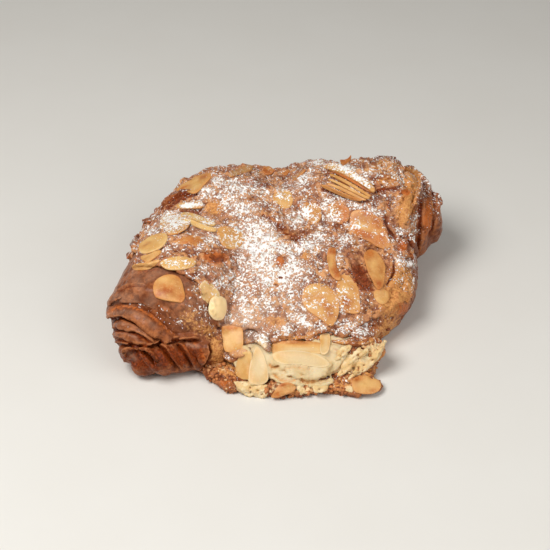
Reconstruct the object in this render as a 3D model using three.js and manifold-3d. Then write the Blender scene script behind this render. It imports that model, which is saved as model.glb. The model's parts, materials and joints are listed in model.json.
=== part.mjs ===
// An almond croissant as it lies on a table: a baked croissant that was split along its front, filled with
// almond cream, spread with more of it, strewn with flaked almonds and baked again.
// Millimetres, +Z up. The horns lie towards -X and +X, and the cream shows at the front, towards -Y.

import * as THREE from "three";
import { mergeVertices } from "three/addons/utils/BufferGeometryUtils.js";
import Module from "manifold-3d";

const wasm = await Module();
wasm.setup();

const FULL_TURN = 2 * Math.PI;
const UP = new THREE.Vector3(0, 0, 1);
const CLEARANCE = 0.3; // gap between two pieces that lie against each other

// Outlines are lists of reaches from a middle point, at equal angles all round, the first one towards +X.
const MIDDLE = { x: 2, y: -14 };

// The crust: the swollen middle of the croissant.
const CRUST_REACH = [56, 57, 58, 58, 57, 59, 61, 61, 60, 57, 53, 49, 47, 47, 50, 54];
const WAIST_HEIGHT = 11; // the height at which the croissant is widest
const FOOT_SHARE = 0.9; // reach of the flat foot, as a share of the outline
const CROWN_HEIGHT = 33; // height of the crust over its middle
const CROWN_FALL = 0.29; // how steeply the crown falls towards the front
const CROWN_FULLNESS = 2.4; // 2 is a half ellipse, and more is a fuller shoulder
const CROWN_BANDS = 9;
const FLANK_BANDS = 3;
const CRUST_POINTS = 44;

// Humps and hollows of the crown: where they are, how high and how broad.
const SWELLS = [
  { x: -24, y: 8, rise: 4, spread: 20 }, // back left shoulder
  { x: 27, y: 14, rise: 5, spread: 20 }, // back right shoulder
  { x: -3, y: 25, rise: -13, spread: 13 }, // saddle between the shoulders
  { x: 8, y: -2, rise: -4, spread: 8 }, // fold that runs down from the saddle
  { x: 17, y: -12, rise: -3, spread: 7 }, // lower end of that fold
  { x: 40, y: -22, rise: -6, spread: 8 }, // hollow at the right
  { x: 4, y: -34, rise: 4, spread: 16 }, // swell over the filling
];

// The folds at the back, where each wrap of dough overlaps the next one.
const BACK_FOLDS = { from: 50, to: 170, count: 4, step: 2.6 }; // angles in degrees, step in millimetres

// The horns. Each wrap of dough is a sleeve on a spine that runs out to a lip, and the next comes out of it.
const LEFT_WRAPS = [
  { spine: [[-24, -6, 17], [-38, -28, 18.5], [-46.5, -51, 16.5]], girth: [22, 23.5, 22.5], tall: 0.84 },
  { spine: [[-38, -28, 15], [-48, -46, 14], [-54.5, -57.5, 11.5]], girth: [18, 16, 12.5], tall: 0.95 },
  { spine: [[-24, -50, 9], [-40, -57, 8.5], [-52.5, -62, 8]], girth: [8, 10.5, 7.5], tall: 1 },
];
const RIGHT_WRAPS = [
  { spine: [[18, 4, 18], [36, 11, 20.5], [47, 13, 21.5]], girth: [19, 26, 25], tall: 0.88 },
  { spine: [[36, 10, 19], [47, 14, 20.5], [55.5, 15.5, 21.5]], girth: [24, 23.5, 19.5], tall: 0.98 },
  { spine: [[46, 12, 18], [57, 15, 20], [64, 16, 21]], girth: [20, 17.5, 12.5], tall: 1 },
];
const WRAP_BANDS = 5;
const WRAP_POINTS = 26;
const LAYERS = 2; // layers of dough that show as ridges behind each lip
const LAYER_PITCH = 2.8; // from one ridge to the next
const LAYER_DIP = 0.8; // depth of the groove between two ridges
const LIP_TURN = [0.97, 0.86, 0.62]; // girth of the rings that turn a lip in, as shares of the lip's girth
const LIP_REACH = 0.4; // how far a lip bulges ahead, as a share of its girth

// The lower half's edge, which sticks out under the filling.
const LEDGE_MIDDLE = { x: 4, y: -46 };
const LEDGE_REACH = [33, 30, 30, 30, 30, 30, 30, 30, 34, 39, 37, 31.5, 31, 31, 41, 37];
const LEDGE_HEIGHT = 5;
const LEDGE_POINTS = 44;
const LEDGE_CRUMBLE = 1.1; // how far its ragged edge goes in and out

// The filling: a lens of almond cream that runs from the split at the front far into the middle.
const CREAM_MIDDLE = { x: 5, y: -46 };
const CREAM_REACH = [34, 32, 38, 48, 50, 44, 36, 34, 33, 31, 29, 27.5, 26.5, 27, 30, 33];
const CREAM_LEVEL = 11.5; // height of the lens's middle plane over its own middle
const CREAM_FALL = 0.22; // how steeply that plane falls towards the front
const CREAM_HALF_DEPTH = 5;
const CREAM_BANDS = 5;
const CREAM_POINTS = 34;

// Torn crumb that stands up at the right end of the filling.
const CRUMB = { at: [31.5, -57.5, 8], radii: [10.5, 7, 7], swell: 0.14 };

// The topping: a baked coat of almond cream over the crown and the roots of the horns.
const TOPPING_REACH = [52, 58, 62, 54, 50, 52, 57, 60, 62, 60, 48, 46, 45.5, 46.5, 50, 53];
const TOPPING_DEPTH = 2.2;
const TOPPING_BRINK = 13; // it hangs down the flanks no lower than this
const TOPPING_POINTS = 64;
const TOPPING_RAGGED = 1.3; // how far its edge wanders in and out
const TOPPING_CRAG = 0.7; // height of the lumps on it

// A flaked almond: an oval slice with one blunter end.
const FLAKE_DEPTH = 1.3;
const FLAKE_SINK = 0.5; // how deep a flake sits in what it lies on
const TIPPED_SINK = 2.2; // how deep one that is tipped on its edge does
const FLAKE_CURVE_STEPS = 5;

// Flaked almonds by what they lie on: x and y in plan, length, width, the way the length points and how far the
// flake is tipped on its edge, both in degrees.
const FLAKES_ON_TOPPING = [
  [-49, -28, 14, 8, 35, 0],
  [-51.5, -38.5, 13, 6.5, 10, 0],
  [-38.7, -41.5, 17, 8, 4, 0],
  [-40.5, -19, 16, 9, 18, 0],
  [-36, -2.5, 13, 7, 8, -40],
  [-30, -15.5, 19, 9, -36, -45],
  [-19, -21, 16, 12, -20, 0],
  [-36, -29, 15, 8, 5, 0],
  [-33.5, 11, 18, 11, 35, 0],
  [-19, 18, 16, 9, 12, 0],
  [-4, 22.5, 10, 6, 30, -30],
  [2, 3, 11, 9, 20, 0],
  [14, -7, 13, 9, 60, 0],
  [26.5, -6.5, 14, 10, 100, 0],
  [27.5, 9.5, 22, 9, -43, -40],
  [30, 3, 22, 9, -40, -40],
  [32.5, -1.5, 18, 8, -38, -35],
  [37, -11.5, 20, 14, -60, 0],
  [39, -29, 22, 9, -74, 0],
  [53, -2, 12, 8, 80, 0],
  [21.7, -30.7, 15, 6.5, -75, 0],
  [29.5, -41.5, 19, 9, -72, 0],
  [17, -47, 20, 15, -50, 0],
  [40.5, -41.5, 8, 7, 0, 0],
  [-22.7, -51.2, 13, 9, 95, 0],
  [-28, -47.5, 13, 8, 75, 0],
];
const FLAKES_ON_PASTRY = [
  [-42.3, -52, 15, 13, 90, 0],
  [-18.6, -56.7, 11, 11, 90, 0],
  [33, -71, 16, 9, -8, 0],
  [2.5, -74, 13, 7, 12, 0],
];
const FLAKES_ON_CREAM = [
  [-13, -66.5, 16, 9, 80, 0],
  [-7.5, -67.5, 18, 11, 72, 0],
  [9, -61.5, 24, 9, 0, 0],
  [9, -68, 22, 11, -5, 0],
];

function mix(from, to, share) {
  return from + (to - from) * share;
}

// A value that runs smoothly round a closed ring of values, at an angle in radians from +X.
function roundTheRing(values, angle) {
  const place = ((angle / FULL_TURN + 2) % 1) * values.length;
  const before = Math.floor(place);
  const at = (step) => values[(before + step + values.length) % values.length];
  const t = place - before;
  const bend = 2 * at(-1) - 5 * at(0) + 4 * at(1) - at(2);
  const twist = -at(-1) + 3 * at(0) - 3 * at(1) + at(2);
  return at(0) + 0.5 * t * (at(1) - at(-1) + t * (bend + t * twist));
}

// A point of the plan at a reach and an angle from a middle point, at a height.
function around(middle, reach, angle, height) {
  return new THREE.Vector3(middle.x + reach * Math.cos(angle), middle.y + reach * Math.sin(angle), height);
}

// One ring of points at equal angles.
function ringOf(count, pointAt) {
  return Array.from({ length: count }, (_, i) => pointAt((i / count) * FULL_TURN));
}

// Shares of the way out from a pole, closer together towards the rim.
function roundedShares(count) {
  return Array.from({ length: count }, (_, i) => Math.sin(((i + 1) / count) * (Math.PI / 2)));
}

// A closed skin: a pole, rings of equal length, and a pole. Rings run anticlockwise seen from the first pole.
function closedSkin(firstPole, rings, lastPole) {
  const columns = rings[0].length;
  const points = [firstPole, ...rings.flat(), lastPole];
  const triangles = [];
  const place = (row, column) => 1 + row * columns + (column % columns);
  for (let column = 0; column < columns; column++) {
    triangles.push(0, place(0, column), place(0, column + 1));
    for (let row = 0; row + 1 < rings.length; row++) {
      const [a, b] = [place(row, column), place(row, column + 1)];
      const [c, d] = [place(row + 1, column), place(row + 1, column + 1)];
      triangles.push(a, c, d, a, d, b);
    }
    const end = rings.length - 1;
    triangles.push(points.length - 1, place(end, column + 1), place(end, column));
  }
  const geometry = new THREE.BufferGeometry().setFromPoints(points);
  geometry.setIndex(triangles);
  return geometry;
}

function solidOf(geometry) {
  const bare = geometry.clone();
  bare.deleteAttribute("normal");
  bare.deleteAttribute("uv");
  const merged = mergeVertices(bare, 1e-4);
  return new wasm.Manifold(
    new wasm.Mesh({
      numProp: 3,
      vertProperties: merged.attributes.position.array,
      triVerts: new Uint32Array(merged.index.array),
    }),
  );
}

function geometryOf(solid) {
  const mesh = solid.getMesh();
  const geometry = new THREE.BufferGeometry();
  geometry.setAttribute("position", new THREE.BufferAttribute(mesh.vertProperties, 3));
  geometry.setIndex(new THREE.BufferAttribute(mesh.triVerts, 1));
  geometry.computeVertexNormals();
  return geometry;
}

function joined(solids) {
  return solids.reduce((whole, solid) => whole.add(solid));
}

// How far the crust reaches at an angle, with the saw-toothed overlaps of the wraps at the back.
function crustReach(angle) {
  const degrees = THREE.MathUtils.radToDeg(angle);
  const share = (degrees - BACK_FOLDS.from) / (BACK_FOLDS.to - BACK_FOLDS.from);
  const inFold = share > 0 && share < 1 ? (share * BACK_FOLDS.count) % 1 : 0.5;
  return roundTheRing(CRUST_REACH, angle) + BACK_FOLDS.step * (inFold - 0.5);
}

// Height of the crown over a point of the plan, were the crust to run on level to its outline.
function crownHeight(x, y, crag) {
  const lumps = Math.sin(0.31 * x + 0.13 * y) * Math.sin(0.36 * y - 0.11 * x);
  let height = CROWN_HEIGHT + CROWN_FALL * (y - MIDDLE.y) + crag * lumps;
  for (const swell of SWELLS) {
    const distance = Math.hypot(x - swell.x, y - swell.y) / swell.spread;
    height += swell.rise * Math.exp(-distance * distance);
  }
  return height;
}

// A point on the upper crust, at a share of the way from the middle to the outline.
function upperCrust(share, angle, lift, crag) {
  const point = around(MIDDLE, (crustReach(angle) + lift) * share, angle, 0);
  const dome = Math.pow(1 - Math.pow(share, CROWN_FULLNESS), 1 / CROWN_FULLNESS);
  return point.setZ(mix(WAIST_HEIGHT, crownHeight(point.x, point.y, crag) + lift, dome));
}

// A point on the flank below the waist, at a share of the way down to the foot.
function lowerCrust(share, angle, lift) {
  const turn = (share * Math.PI) / 2;
  const reach = (crustReach(angle) + lift) * mix(FOOT_SHARE, 1, Math.cos(turn));
  return around(MIDDLE, reach, angle, WAIST_HEIGHT * (1 - Math.sin(turn)));
}

// The middle of the croissant, grown by a lift all over but at its foot, and lumpy where it has a crag.
function crust(lift, crag) {
  const rings = roundedShares(CROWN_BANDS).map((share) =>
    ringOf(CRUST_POINTS, (angle) => upperCrust(share, angle, lift, crag)),
  );
  for (let band = 1; band <= FLANK_BANDS; band++) {
    rings.push(ringOf(CRUST_POINTS, (angle) => lowerCrust(band / FLANK_BANDS, angle, lift)));
  }
  return solidOf(closedSkin(upperCrust(0, 0, lift, crag), rings, around(MIDDLE, 0, 0, 0)));
}

// One wrap of a horn: a sleeve along its spine, with a lip that turns in, flat where it meets the table.
function hornWrap({ spine, girth, tall }, lift) {
  const line = new THREE.CatmullRomCurve3(spine.map((point) => new THREE.Vector3(...point)));
  const girthAt = (t) => {
    const place = t * (girth.length - 1);
    const before = Math.min(Math.floor(place), girth.length - 2);
    return mix(girth[before], girth[before + 1], place - before) + lift;
  };
  const ahead = (t, distance) => {
    const point = line.getPointAt(t).addScaledVector(line.getTangentAt(t), distance);
    return point.setZ(Math.max(point.z, 0));
  };
  const ringAt = (t, radius, distance) => {
    const along = line.getTangentAt(t);
    const aside = UP.clone().cross(along).normalize();
    const upward = along.clone().cross(aside);
    const centre = ahead(t, distance);
    return ringOf(WRAP_POINTS, (angle) => {
      const point = centre.clone().addScaledVector(aside, radius * Math.cos(angle));
      point.addScaledVector(upward, radius * tall * Math.sin(angle));
      return point.setZ(Math.max(point.z, 0));
    });
  };
  const bulge = girthAt(1) * LIP_REACH;
  const lip = (share) => ringAt(1, girthAt(1) * share, Math.sqrt(1 - share * share) * bulge);
  const rings = [...LIP_TURN.map(lip).reverse(), lip(1)];
  const layer = LAYER_PITCH / line.getLength();
  for (let step = 1; step <= LAYERS; step++) {
    const [groove, ridge] = [1 - (step - 0.4) * layer, 1 - step * layer];
    rings.push(ringAt(groove, girthAt(groove) - LAYER_DIP, 0), ringAt(ridge, girthAt(ridge), 0));
  }
  for (let band = 1; band <= WRAP_BANDS; band++) {
    const t = (1 - LAYERS * layer) * (1 - band / WRAP_BANDS);
    rings.push(ringAt(t, girthAt(t), 0));
  }
  return solidOf(closedSkin(ahead(1, bulge), rings, ahead(0, 0)));
}

// The edge of the lower half, grown by a lift: a thin slab with a crumbly rim.
function ledge(lift) {
  const reachAt = (angle) => {
    const crumble = LEDGE_CRUMBLE * (Math.sin(13 * angle) + 0.7 * Math.sin(22 * angle + 1));
    return roundTheRing(LEDGE_REACH, angle) + crumble + lift;
  };
  const ring = (share, height) =>
    ringOf(LEDGE_POINTS, (angle) => around(LEDGE_MIDDLE, reachAt(angle) * share, angle, height));
  const profile = [[0.86, 1], [0.98, 0.7], [1, 0.3], [0.97, 0]]; // shares of the reach and of the height
  const height = LEDGE_HEIGHT + lift;
  const rings = profile.map(([share, rise]) => ring(share, height * rise));
  const [top, foot] = [height, 0].map((level) => around(LEDGE_MIDDLE, 0, 0, level));
  return solidOf(closedSkin(top, rings, foot));
}

// The filling, grown by a lift all over.
function creamLens(lift) {
  const face = (side) => (share, angle) => {
    const point = around(CREAM_MIDDLE, (roundTheRing(CREAM_REACH, angle) + lift) * share, angle, 0);
    const plane = CREAM_LEVEL + CREAM_FALL * (point.y - CREAM_MIDDLE.y);
    return point.setZ(plane + side * (CREAM_HALF_DEPTH + lift) * Math.sqrt(1 - share ** 3));
  };
  const [above, below] = [face(1), face(-1)];
  const shares = roundedShares(CREAM_BANDS);
  const rings = shares.map((share) => ringOf(CREAM_POINTS, (angle) => above(share, angle)));
  for (const share of shares.slice(0, -1).reverse()) {
    rings.push(ringOf(CREAM_POINTS, (angle) => below(share, angle)));
  }
  return solidOf(closedSkin(above(0, 0), rings, below(0, 0)));
}

// A lump of torn crumb.
function tornCrumb({ at, radii, swell }) {
  const lump = new THREE.IcosahedronGeometry(1, 2);
  const places = lump.attributes.position;
  for (let i = 0; i < places.count; i++) {
    const [x, y, z] = [places.getX(i), places.getY(i), places.getZ(i)];
    const size = 1 + swell * Math.sin(5 * x + 1) * Math.sin(6 * y) * Math.cos(5 * z);
    places.setXYZ(i, x * size, y * size, z * size);
  }
  return solidOf(lump.scale(...radii).translate(...at));
}

// The croissant's own dough, before anything is cut out of it, grown by a lift and with lumps on its crown.
function dough(lift, crag = 0) {
  const wraps = [...LEFT_WRAPS, ...RIGHT_WRAPS];
  return joined([crust(lift, crag), ...wraps.map((wrap) => hornWrap(wrap, lift))]);
}

// A wall round the topping's outline, grown by a lift, from its lowest brink up past the crown.
function toppingOutline(lift) {
  const edge = ringOf(TOPPING_POINTS, (angle) => {
    const wander = TOPPING_RAGGED * (Math.sin(11 * angle) + 0.8 * Math.sin(18 * angle + 1));
    return around(MIDDLE, roundTheRing(TOPPING_REACH, angle) + wander + lift, angle, 0);
  });
  const shape = new THREE.Shape(edge.map((point) => new THREE.Vector2(point.x, point.y)));
  const wall = new THREE.ExtrudeGeometry(shape, { depth: 2 * CROWN_HEIGHT, bevelEnabled: false });
  return solidOf(wall.translate(0, 0, TOPPING_BRINK - lift));
}

// A flaked almond on a bed: sunk a little where it lies flat, or standing on its edge where it is tipped.
function flakeOn(bed, [x, y, long, wide, spin, lean]) {
  const outline = new THREE.Shape();
  outline.moveTo(-long / 2, 0);
  outline.bezierCurveTo(-long / 4, 0.7 * wide, long / 2, 0.65 * wide, long / 2, 0);
  outline.bezierCurveTo(long / 2, -0.65 * wide, -long / 4, -0.7 * wide, -long / 2, 0);
  const options = { depth: FLAKE_DEPTH, bevelEnabled: false, curveSegments: FLAKE_CURVE_STEPS };
  const slice = new THREE.ExtrudeGeometry(outline, options).translate(0, 0, -FLAKE_DEPTH / 2);
  const tip = THREE.MathUtils.degToRad(lean);
  const rise = (wide / 2) * Math.abs(Math.sin(tip)) + (FLAKE_DEPTH / 2) * Math.cos(tip);
  slice.rotateX(tip).translate(0, 0, rise - (lean ? TIPPED_SINK : FLAKE_SINK));

  const above = new THREE.Vector3(x, y, 2 * CROWN_HEIGHT);
  const [hit] = new THREE.Raycaster(above, UP.clone().negate()).intersectObject(bed);
  const out = hit.face.normal;
  const turn = THREE.MathUtils.degToRad(spin);
  const aside = out.clone().cross(new THREE.Vector3(Math.cos(turn), Math.sin(turn), 0)).normalize();
  const along = aside.clone().cross(out);
  const place = new THREE.Matrix4().makeBasis(along, aside, out).setPosition(hit.point);
  return solidOf(slice.applyMatrix4(place));
}

// The largest body of a solid, without hollows that are sealed inside it and without loose scraps.
function wholeBody(solid) {
  return solid.decompose().reduce((largest, body) => (body.volume() > largest.volume() ? body : largest));
}

function flakesOn(solid, rows) {
  const bed = new THREE.Mesh(geometryOf(solid));
  return joined(rows.map((row) => flakeOn(bed, row)));
}

const bareCream = creamLens(0);
const creamRoom = creamLens(CLEARANCE);
const bareTopping = dough(TOPPING_DEPTH + CLEARANCE, TOPPING_CRAG).intersect(toppingOutline(0));
const toppingRoom = dough(TOPPING_DEPTH + 2 * CLEARANCE, TOPPING_CRAG).intersect(toppingOutline(CLEARANCE));
const barePastry = joined([dough(0), ledge(0), tornCrumb(CRUMB).subtract(toppingRoom)]);
const pastryRoom = joined([dough(CLEARANCE), ledge(CLEARANCE)]);

const pastry = barePastry
  .add(flakesOn(barePastry, FLAKES_ON_PASTRY).subtract(toppingRoom))
  .subtract(creamRoom);
const topping = bareTopping
  .add(flakesOn(bareTopping, FLAKES_ON_TOPPING))
  .subtract(pastryRoom)
  .subtract(creamRoom);
const cream = bareCream.add(flakesOn(bareCream, FLAKES_ON_CREAM).subtract(toppingRoom).subtract(pastryRoom));

const FINISHES = {
  pastry: { color: 0x8a4b25, roughness: 0.55 },
  topping: { color: 0xc68e56, roughness: 0.75 },
  almond_cream: { color: 0xf0dca0, roughness: 0.6 },
};
const croissant = new THREE.Group();
for (const [name, solid] of Object.entries({ pastry, topping, almond_cream: cream })) {
  const piece = new THREE.Mesh(geometryOf(wholeBody(solid)), new THREE.MeshStandardMaterial(FINISHES[name]));
  piece.name = name;
  croissant.add(piece);
}

// The origin is under the middle of the whole, on the table.
const box = new THREE.Box3().setFromObject(croissant);
const middle = box.getCenter(new THREE.Vector3());
croissant.position.set(-middle.x, -middle.y, -box.min.z);

export default croissant;
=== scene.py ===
# %% [markdown]
# # An almond croissant, cell by cell
# Yesterday's croissant is split and filled with almond cream, spread with more of it, strewn with
# flaked almonds, baked again and dusted with sugar. This lesson dresses its plain solids the same way:
# dough first, then the coat, the filling, the almonds and last the sugar. Every piece is made in
# metres, in the frame of the solids, so nothing has to be fitted afterwards.

# %% Load the solids
import json
import math

import bmesh
import bpy
import numpy as np
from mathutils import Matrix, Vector, noise
from mathutils.bvhtree import BVHTree

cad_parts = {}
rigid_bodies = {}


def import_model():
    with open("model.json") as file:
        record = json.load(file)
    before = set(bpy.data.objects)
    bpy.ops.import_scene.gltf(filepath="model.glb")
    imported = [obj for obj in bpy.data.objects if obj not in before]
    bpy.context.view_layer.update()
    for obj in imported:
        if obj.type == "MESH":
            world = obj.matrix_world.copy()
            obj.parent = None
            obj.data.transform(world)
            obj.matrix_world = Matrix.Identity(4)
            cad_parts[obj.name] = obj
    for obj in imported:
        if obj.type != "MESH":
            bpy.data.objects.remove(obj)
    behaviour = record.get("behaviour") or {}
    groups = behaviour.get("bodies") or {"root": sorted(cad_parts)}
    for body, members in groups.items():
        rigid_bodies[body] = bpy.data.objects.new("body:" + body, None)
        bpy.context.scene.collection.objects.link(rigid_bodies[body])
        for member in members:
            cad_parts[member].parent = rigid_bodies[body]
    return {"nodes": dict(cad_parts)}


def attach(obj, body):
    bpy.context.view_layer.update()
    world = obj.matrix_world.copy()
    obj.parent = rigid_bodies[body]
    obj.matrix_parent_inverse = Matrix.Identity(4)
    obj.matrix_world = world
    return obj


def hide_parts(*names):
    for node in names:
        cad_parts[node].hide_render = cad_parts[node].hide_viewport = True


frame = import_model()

MM = 0.001
scene = bpy.context.scene
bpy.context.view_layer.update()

# %% [markdown]
# ## The camera
# The croissant was drawn as seen from the front, a little under forty degrees above the table. Places
# below are given in that drawing's millimetres, and `at` turns them into the frame's metres. A long
# lens far away keeps the near horn from looking swollen.

# %% Set up the camera
HOME = Vector((-0.825, 17.187, 0.0)) * MM  # the drawing's zero, seen from the frame's origin


def at(x, y, z=0.0):
    """A place of the drawing, in millimetres, as a place in the frame."""
    return HOME + Vector((x, y, z)) * MM


PICTURE_SIDE = 550
FOCAL_PIXELS = 1531.8
SENSOR_WIDTH = 36.0
VIEW_TARGET = at(-1.25, 0.24)
VIEW_RISE = math.radians(38.34)
VIEW_DISTANCE = 650 * MM
TO_CAMERA = Vector((0, -math.cos(VIEW_RISE), math.sin(VIEW_RISE)))

lens = bpy.data.cameras.new("camera")
lens.sensor_width = SENSOR_WIDTH
lens.lens = SENSOR_WIDTH * FOCAL_PIXELS / PICTURE_SIDE
camera = bpy.data.objects.new("camera", lens)
camera.location = VIEW_TARGET + VIEW_DISTANCE * TO_CAMERA
camera.rotation_euler = (math.pi / 2 - VIEW_RISE, 0, 0)
scene.collection.objects.link(camera)
scene.camera = camera
print("lens, mm:", round(lens.lens, 2))

# %% [markdown]
# ## Drawing on the front view
# Much of this croissant is known from the front only: where a lip of dough runs, where the sugar lies
# thick, where the crust is bare. The handiest way to say so is in pixels of that view. `seen` tells
# where points appear in it, and `on_view` goes the other way: it sends a ray from the camera through a
# pixel and returns what it meets.

# %% Between the view and the frame
SIGHT_START, SIGHT_STEP, SIGHT_STEPS = 0.56, 0.004, 35  # metres along a ray, past the whole croissant


def seen(points):
    """Where places in the frame appear in the front view, in pixels from its upper left corner."""
    sight = points - np.array(camera.location)
    right, up, back = np.array(camera.rotation_euler.to_matrix()).T
    depth = -sight @ back
    scale = FOCAL_PIXELS / depth
    return PICTURE_SIDE / 2 + sight @ right * scale, PICTURE_SIDE / 2 - sight @ up * scale


def ray_through(across, down):
    """The direction in which the camera sees a pixel."""
    half = PICTURE_SIDE / 2
    sight = Vector((across - half, half - down, -FOCAL_PIXELS))
    return (camera.rotation_euler.to_matrix() @ sight).normalized()


def on_view(beds, across, down):
    """The surface behind a pixel, or the one that its ray passes closest: its place and its normal."""
    ray = ray_through(across, down)
    hits = [bed.ray_cast(camera.location, ray) for bed in beds]
    hits = [hit for hit in hits if hit[0] is not None]
    if not hits:
        reaches = [SIGHT_START + SIGHT_STEP * step for step in range(SIGHT_STEPS)]
        hits = [bed.find_nearest(camera.location + ray * reach) for bed in beds for reach in reaches]
    place, normal, _, _ = min(hits, key=lambda hit: hit[3])
    if normal.dot(ray) > 0:
        normal = -normal
    return place, normal


print("the drawing's zero is seen at", [round(float(side[0]), 1) for side in seen(np.array([at(0, 0)]))])

# %% [markdown]
# ## Light
# A bakery photograph has one very large soft light, high at the left and in front, a weaker one at the
# right that opens the shadows, and a bright room around them. Two area lights and an even world colour
# give these. The Standard view transform keeps sugar white and crust brown, as a camera would show
# them.

# %% Light the table
KEY_POWER = 4.15
KEY_SIZE = 0.34
KEY_PLACE = at(-290, -230, 580)
FILL_POWER = 1.6
FILL_SIZE = 0.5
FILL_PLACE = at(380, -330, 360)
LIGHT_AIM = at(0, -15, 15)
ROOM_LIGHT = 0.17
ROOM_COLOUR = (1.0, 0.985, 0.96, 1.0)


def soft_light(name, place, power, size):
    lamp = bpy.data.lights.new(name, "AREA")
    lamp.energy = power
    lamp.size = size
    light = bpy.data.objects.new(name, lamp)
    light.location = place
    light.rotation_euler = (LIGHT_AIM - place).to_track_quat("-Z", "Y").to_euler()
    scene.collection.objects.link(light)


soft_light("key light", KEY_PLACE, KEY_POWER, KEY_SIZE)
soft_light("fill light", FILL_PLACE, FILL_POWER, FILL_SIZE)
world = bpy.data.worlds.new("bright room")
world.use_nodes = True
background = world.node_tree.nodes["Background"]
background.inputs["Color"].default_value = ROOM_COLOUR
background.inputs["Strength"].default_value = ROOM_LIGHT
scene.world = world
scene.view_settings.view_transform = "Standard"
print("lights: key, fill and the room")

# %% [markdown]
# ## Shader sums in Python
# A material is a web of little sums. Wiring each Math node by hand hides what is being worked out, so a
# small class wraps a socket and lets Python's own operators add the nodes. One method, `node`, makes
# every other kind.


# %% A socket that can be added and multiplied
class Shade:
    """A socket of a material's nodes. Sums with it add Math nodes to the same material."""

    def __init__(self, tree, socket=None):
        self.tree = tree
        self.socket = socket

    def node(self, kind, settings=None, sockets=None, output=0):
        """Adds a node of any kind: its settings first, then the values or links of its sockets."""
        made = self.tree.nodes.new(kind)
        for name, value in (settings or {}).items():
            setattr(made, name, value)
        for name, value in (sockets or {}).items():
            if isinstance(value, Shade):
                self.tree.links.new(value.socket, made.inputs[name])
            else:
                made.inputs[name].default_value = value
        return Shade(self.tree, made.outputs[output])

    def sum(self, operation, first, second):
        return self.node("ShaderNodeMath", {"operation": operation}, {0: first, 1: second})

    def __add__(self, other):
        return self.sum("ADD", self, other)

    def __radd__(self, other):
        return self.sum("ADD", other, self)

    def __sub__(self, other):
        return self.sum("SUBTRACT", self, other)

    def __rsub__(self, other):
        return self.sum("SUBTRACT", other, self)

    def __mul__(self, other):
        return self.sum("MULTIPLY", self, other)

    def __rmul__(self, other):
        return self.sum("MULTIPLY", other, self)

    def ramp(self, low, high):
        """0 below low, 1 above high and a soft slope between."""
        settings = {"interpolation_type": "SMOOTHSTEP", "clamp": True}
        sockets = {"Value": self, "From Min": low, "From Max": high}
        return self.node("ShaderNodeMapRange", settings, sockets)

    def mix(self, first, second):
        """The first colour where this socket is 0 and the second where it is 1."""
        settings = {"data_type": "RGBA", "blend_type": "MIX", "clamp_factor": True}
        return self.node("ShaderNodeMix", settings, {0: self, 6: first, 7: second}, output=2)


def colour(red, green, blue):
    """A screen colour, 0 to 255, as the linear colour that Blender takes."""
    parts = [part / 255 for part in (red, green, blue)]
    linear = [((part + 0.055) / 1.055) ** 2.4 if part > 10 / 255 else part / 12.92 for part in parts]
    return (*linear, 1.0)


print("brown crust, linear:", [round(c, 3) for c in colour(140, 80, 48)])

# %% [markdown]
# ## Material helpers
# Every finish here starts the same way: a Principled shader, noise in Object coordinates, and some
# values that the meshes carry for each point. `relief` says whether a point stands out (above 0) or
# lies in a crease (below 0), and `sugar` says how thickly it was dusted.

# %% Start a finish
GRAIN_PER_METRE = 1000  # noise scale at which a lump is about a millimetre


class Finish:
    """A material in the making: its nodes, its shader and the values that most finishes read."""

    def __init__(self, name):
        self.material = bpy.data.materials.new(name)
        self.material.use_nodes = True
        tree = self.material.node_tree
        self.shader = tree.nodes["Principled BSDF"]
        self.shade = Shade(tree)
        self.place = self.shade.node("ShaderNodeTexCoord", output="Object")

    def carried(self, name):
        """A value that the mesh carries for each point."""
        return self.shade.node("ShaderNodeAttribute", {"attribute_name": name}, output="Fac")

    def lumps(self, size, detail=2.0, rough=0.5):
        """Noise from 0 to 1 with lumps of a size in millimetres."""
        sockets = {"Vector": self.place, "Scale": GRAIN_PER_METRE / size}
        sockets |= {"Detail": detail, "Roughness": rough}
        return self.shade.node("ShaderNodeTexNoise", None, sockets)

    def specks(self, size):
        """A random value from 0 to 1 for each speck of a size in millimetres."""
        sockets = {"Vector": self.place, "Scale": GRAIN_PER_METRE / size}
        cells = self.shade.node("ShaderNodeTexVoronoi", None, sockets, output="Color")
        return self.shade.node("ShaderNodeSeparateColor", None, {"Color": cells})

    def wire(self, socket, value):
        """Sets a socket of the shader, or links it."""
        if isinstance(value, Shade):
            self.shade.tree.links.new(value.socket, self.shader.inputs[socket])
        else:
            self.shader.inputs[socket].default_value = value

    def bump(self, height, depth):
        """Feeds the shader's normal from a height; a height of 1 stands for depth millimetres."""
        sockets = {"Height": height, "Distance": depth * MM, "Strength": 1.0}
        self.wire("Normal", self.shade.node("ShaderNodeBump", None, sockets))


print("noise scale for lumps of a millimetre:", GRAIN_PER_METRE)

# %% Sugar on any finish
SUGAR_WHITE = colour(250, 246, 240)
# The veil colour is hazy sugar, and on the left horn it is also painted sheen and painted highlights.
SUGAR_VEIL_AND_SHEEN = colour(230, 196, 166)
SUGAR_SOFT = 0.05  # width of the edge between sugar and what it lies on, in noise units


def dusting(finish, amount):
    """Where powdered sugar covers a surface, from 0 to 1: drifts, clumps and single grains."""
    field = 0.42 * finish.lumps(2.6, 2.0) + 0.28 * finish.lumps(0.9, 1.0) + 0.3 * finish.specks(0.62)
    edge = 0.74 - 0.46 * amount
    return (field - edge).ramp(-SUGAR_SOFT, SUGAR_SOFT) * amount.ramp(0.02, 0.12)


print("sugar, linear:", [round(part, 3) for part in SUGAR_WHITE])
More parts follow.
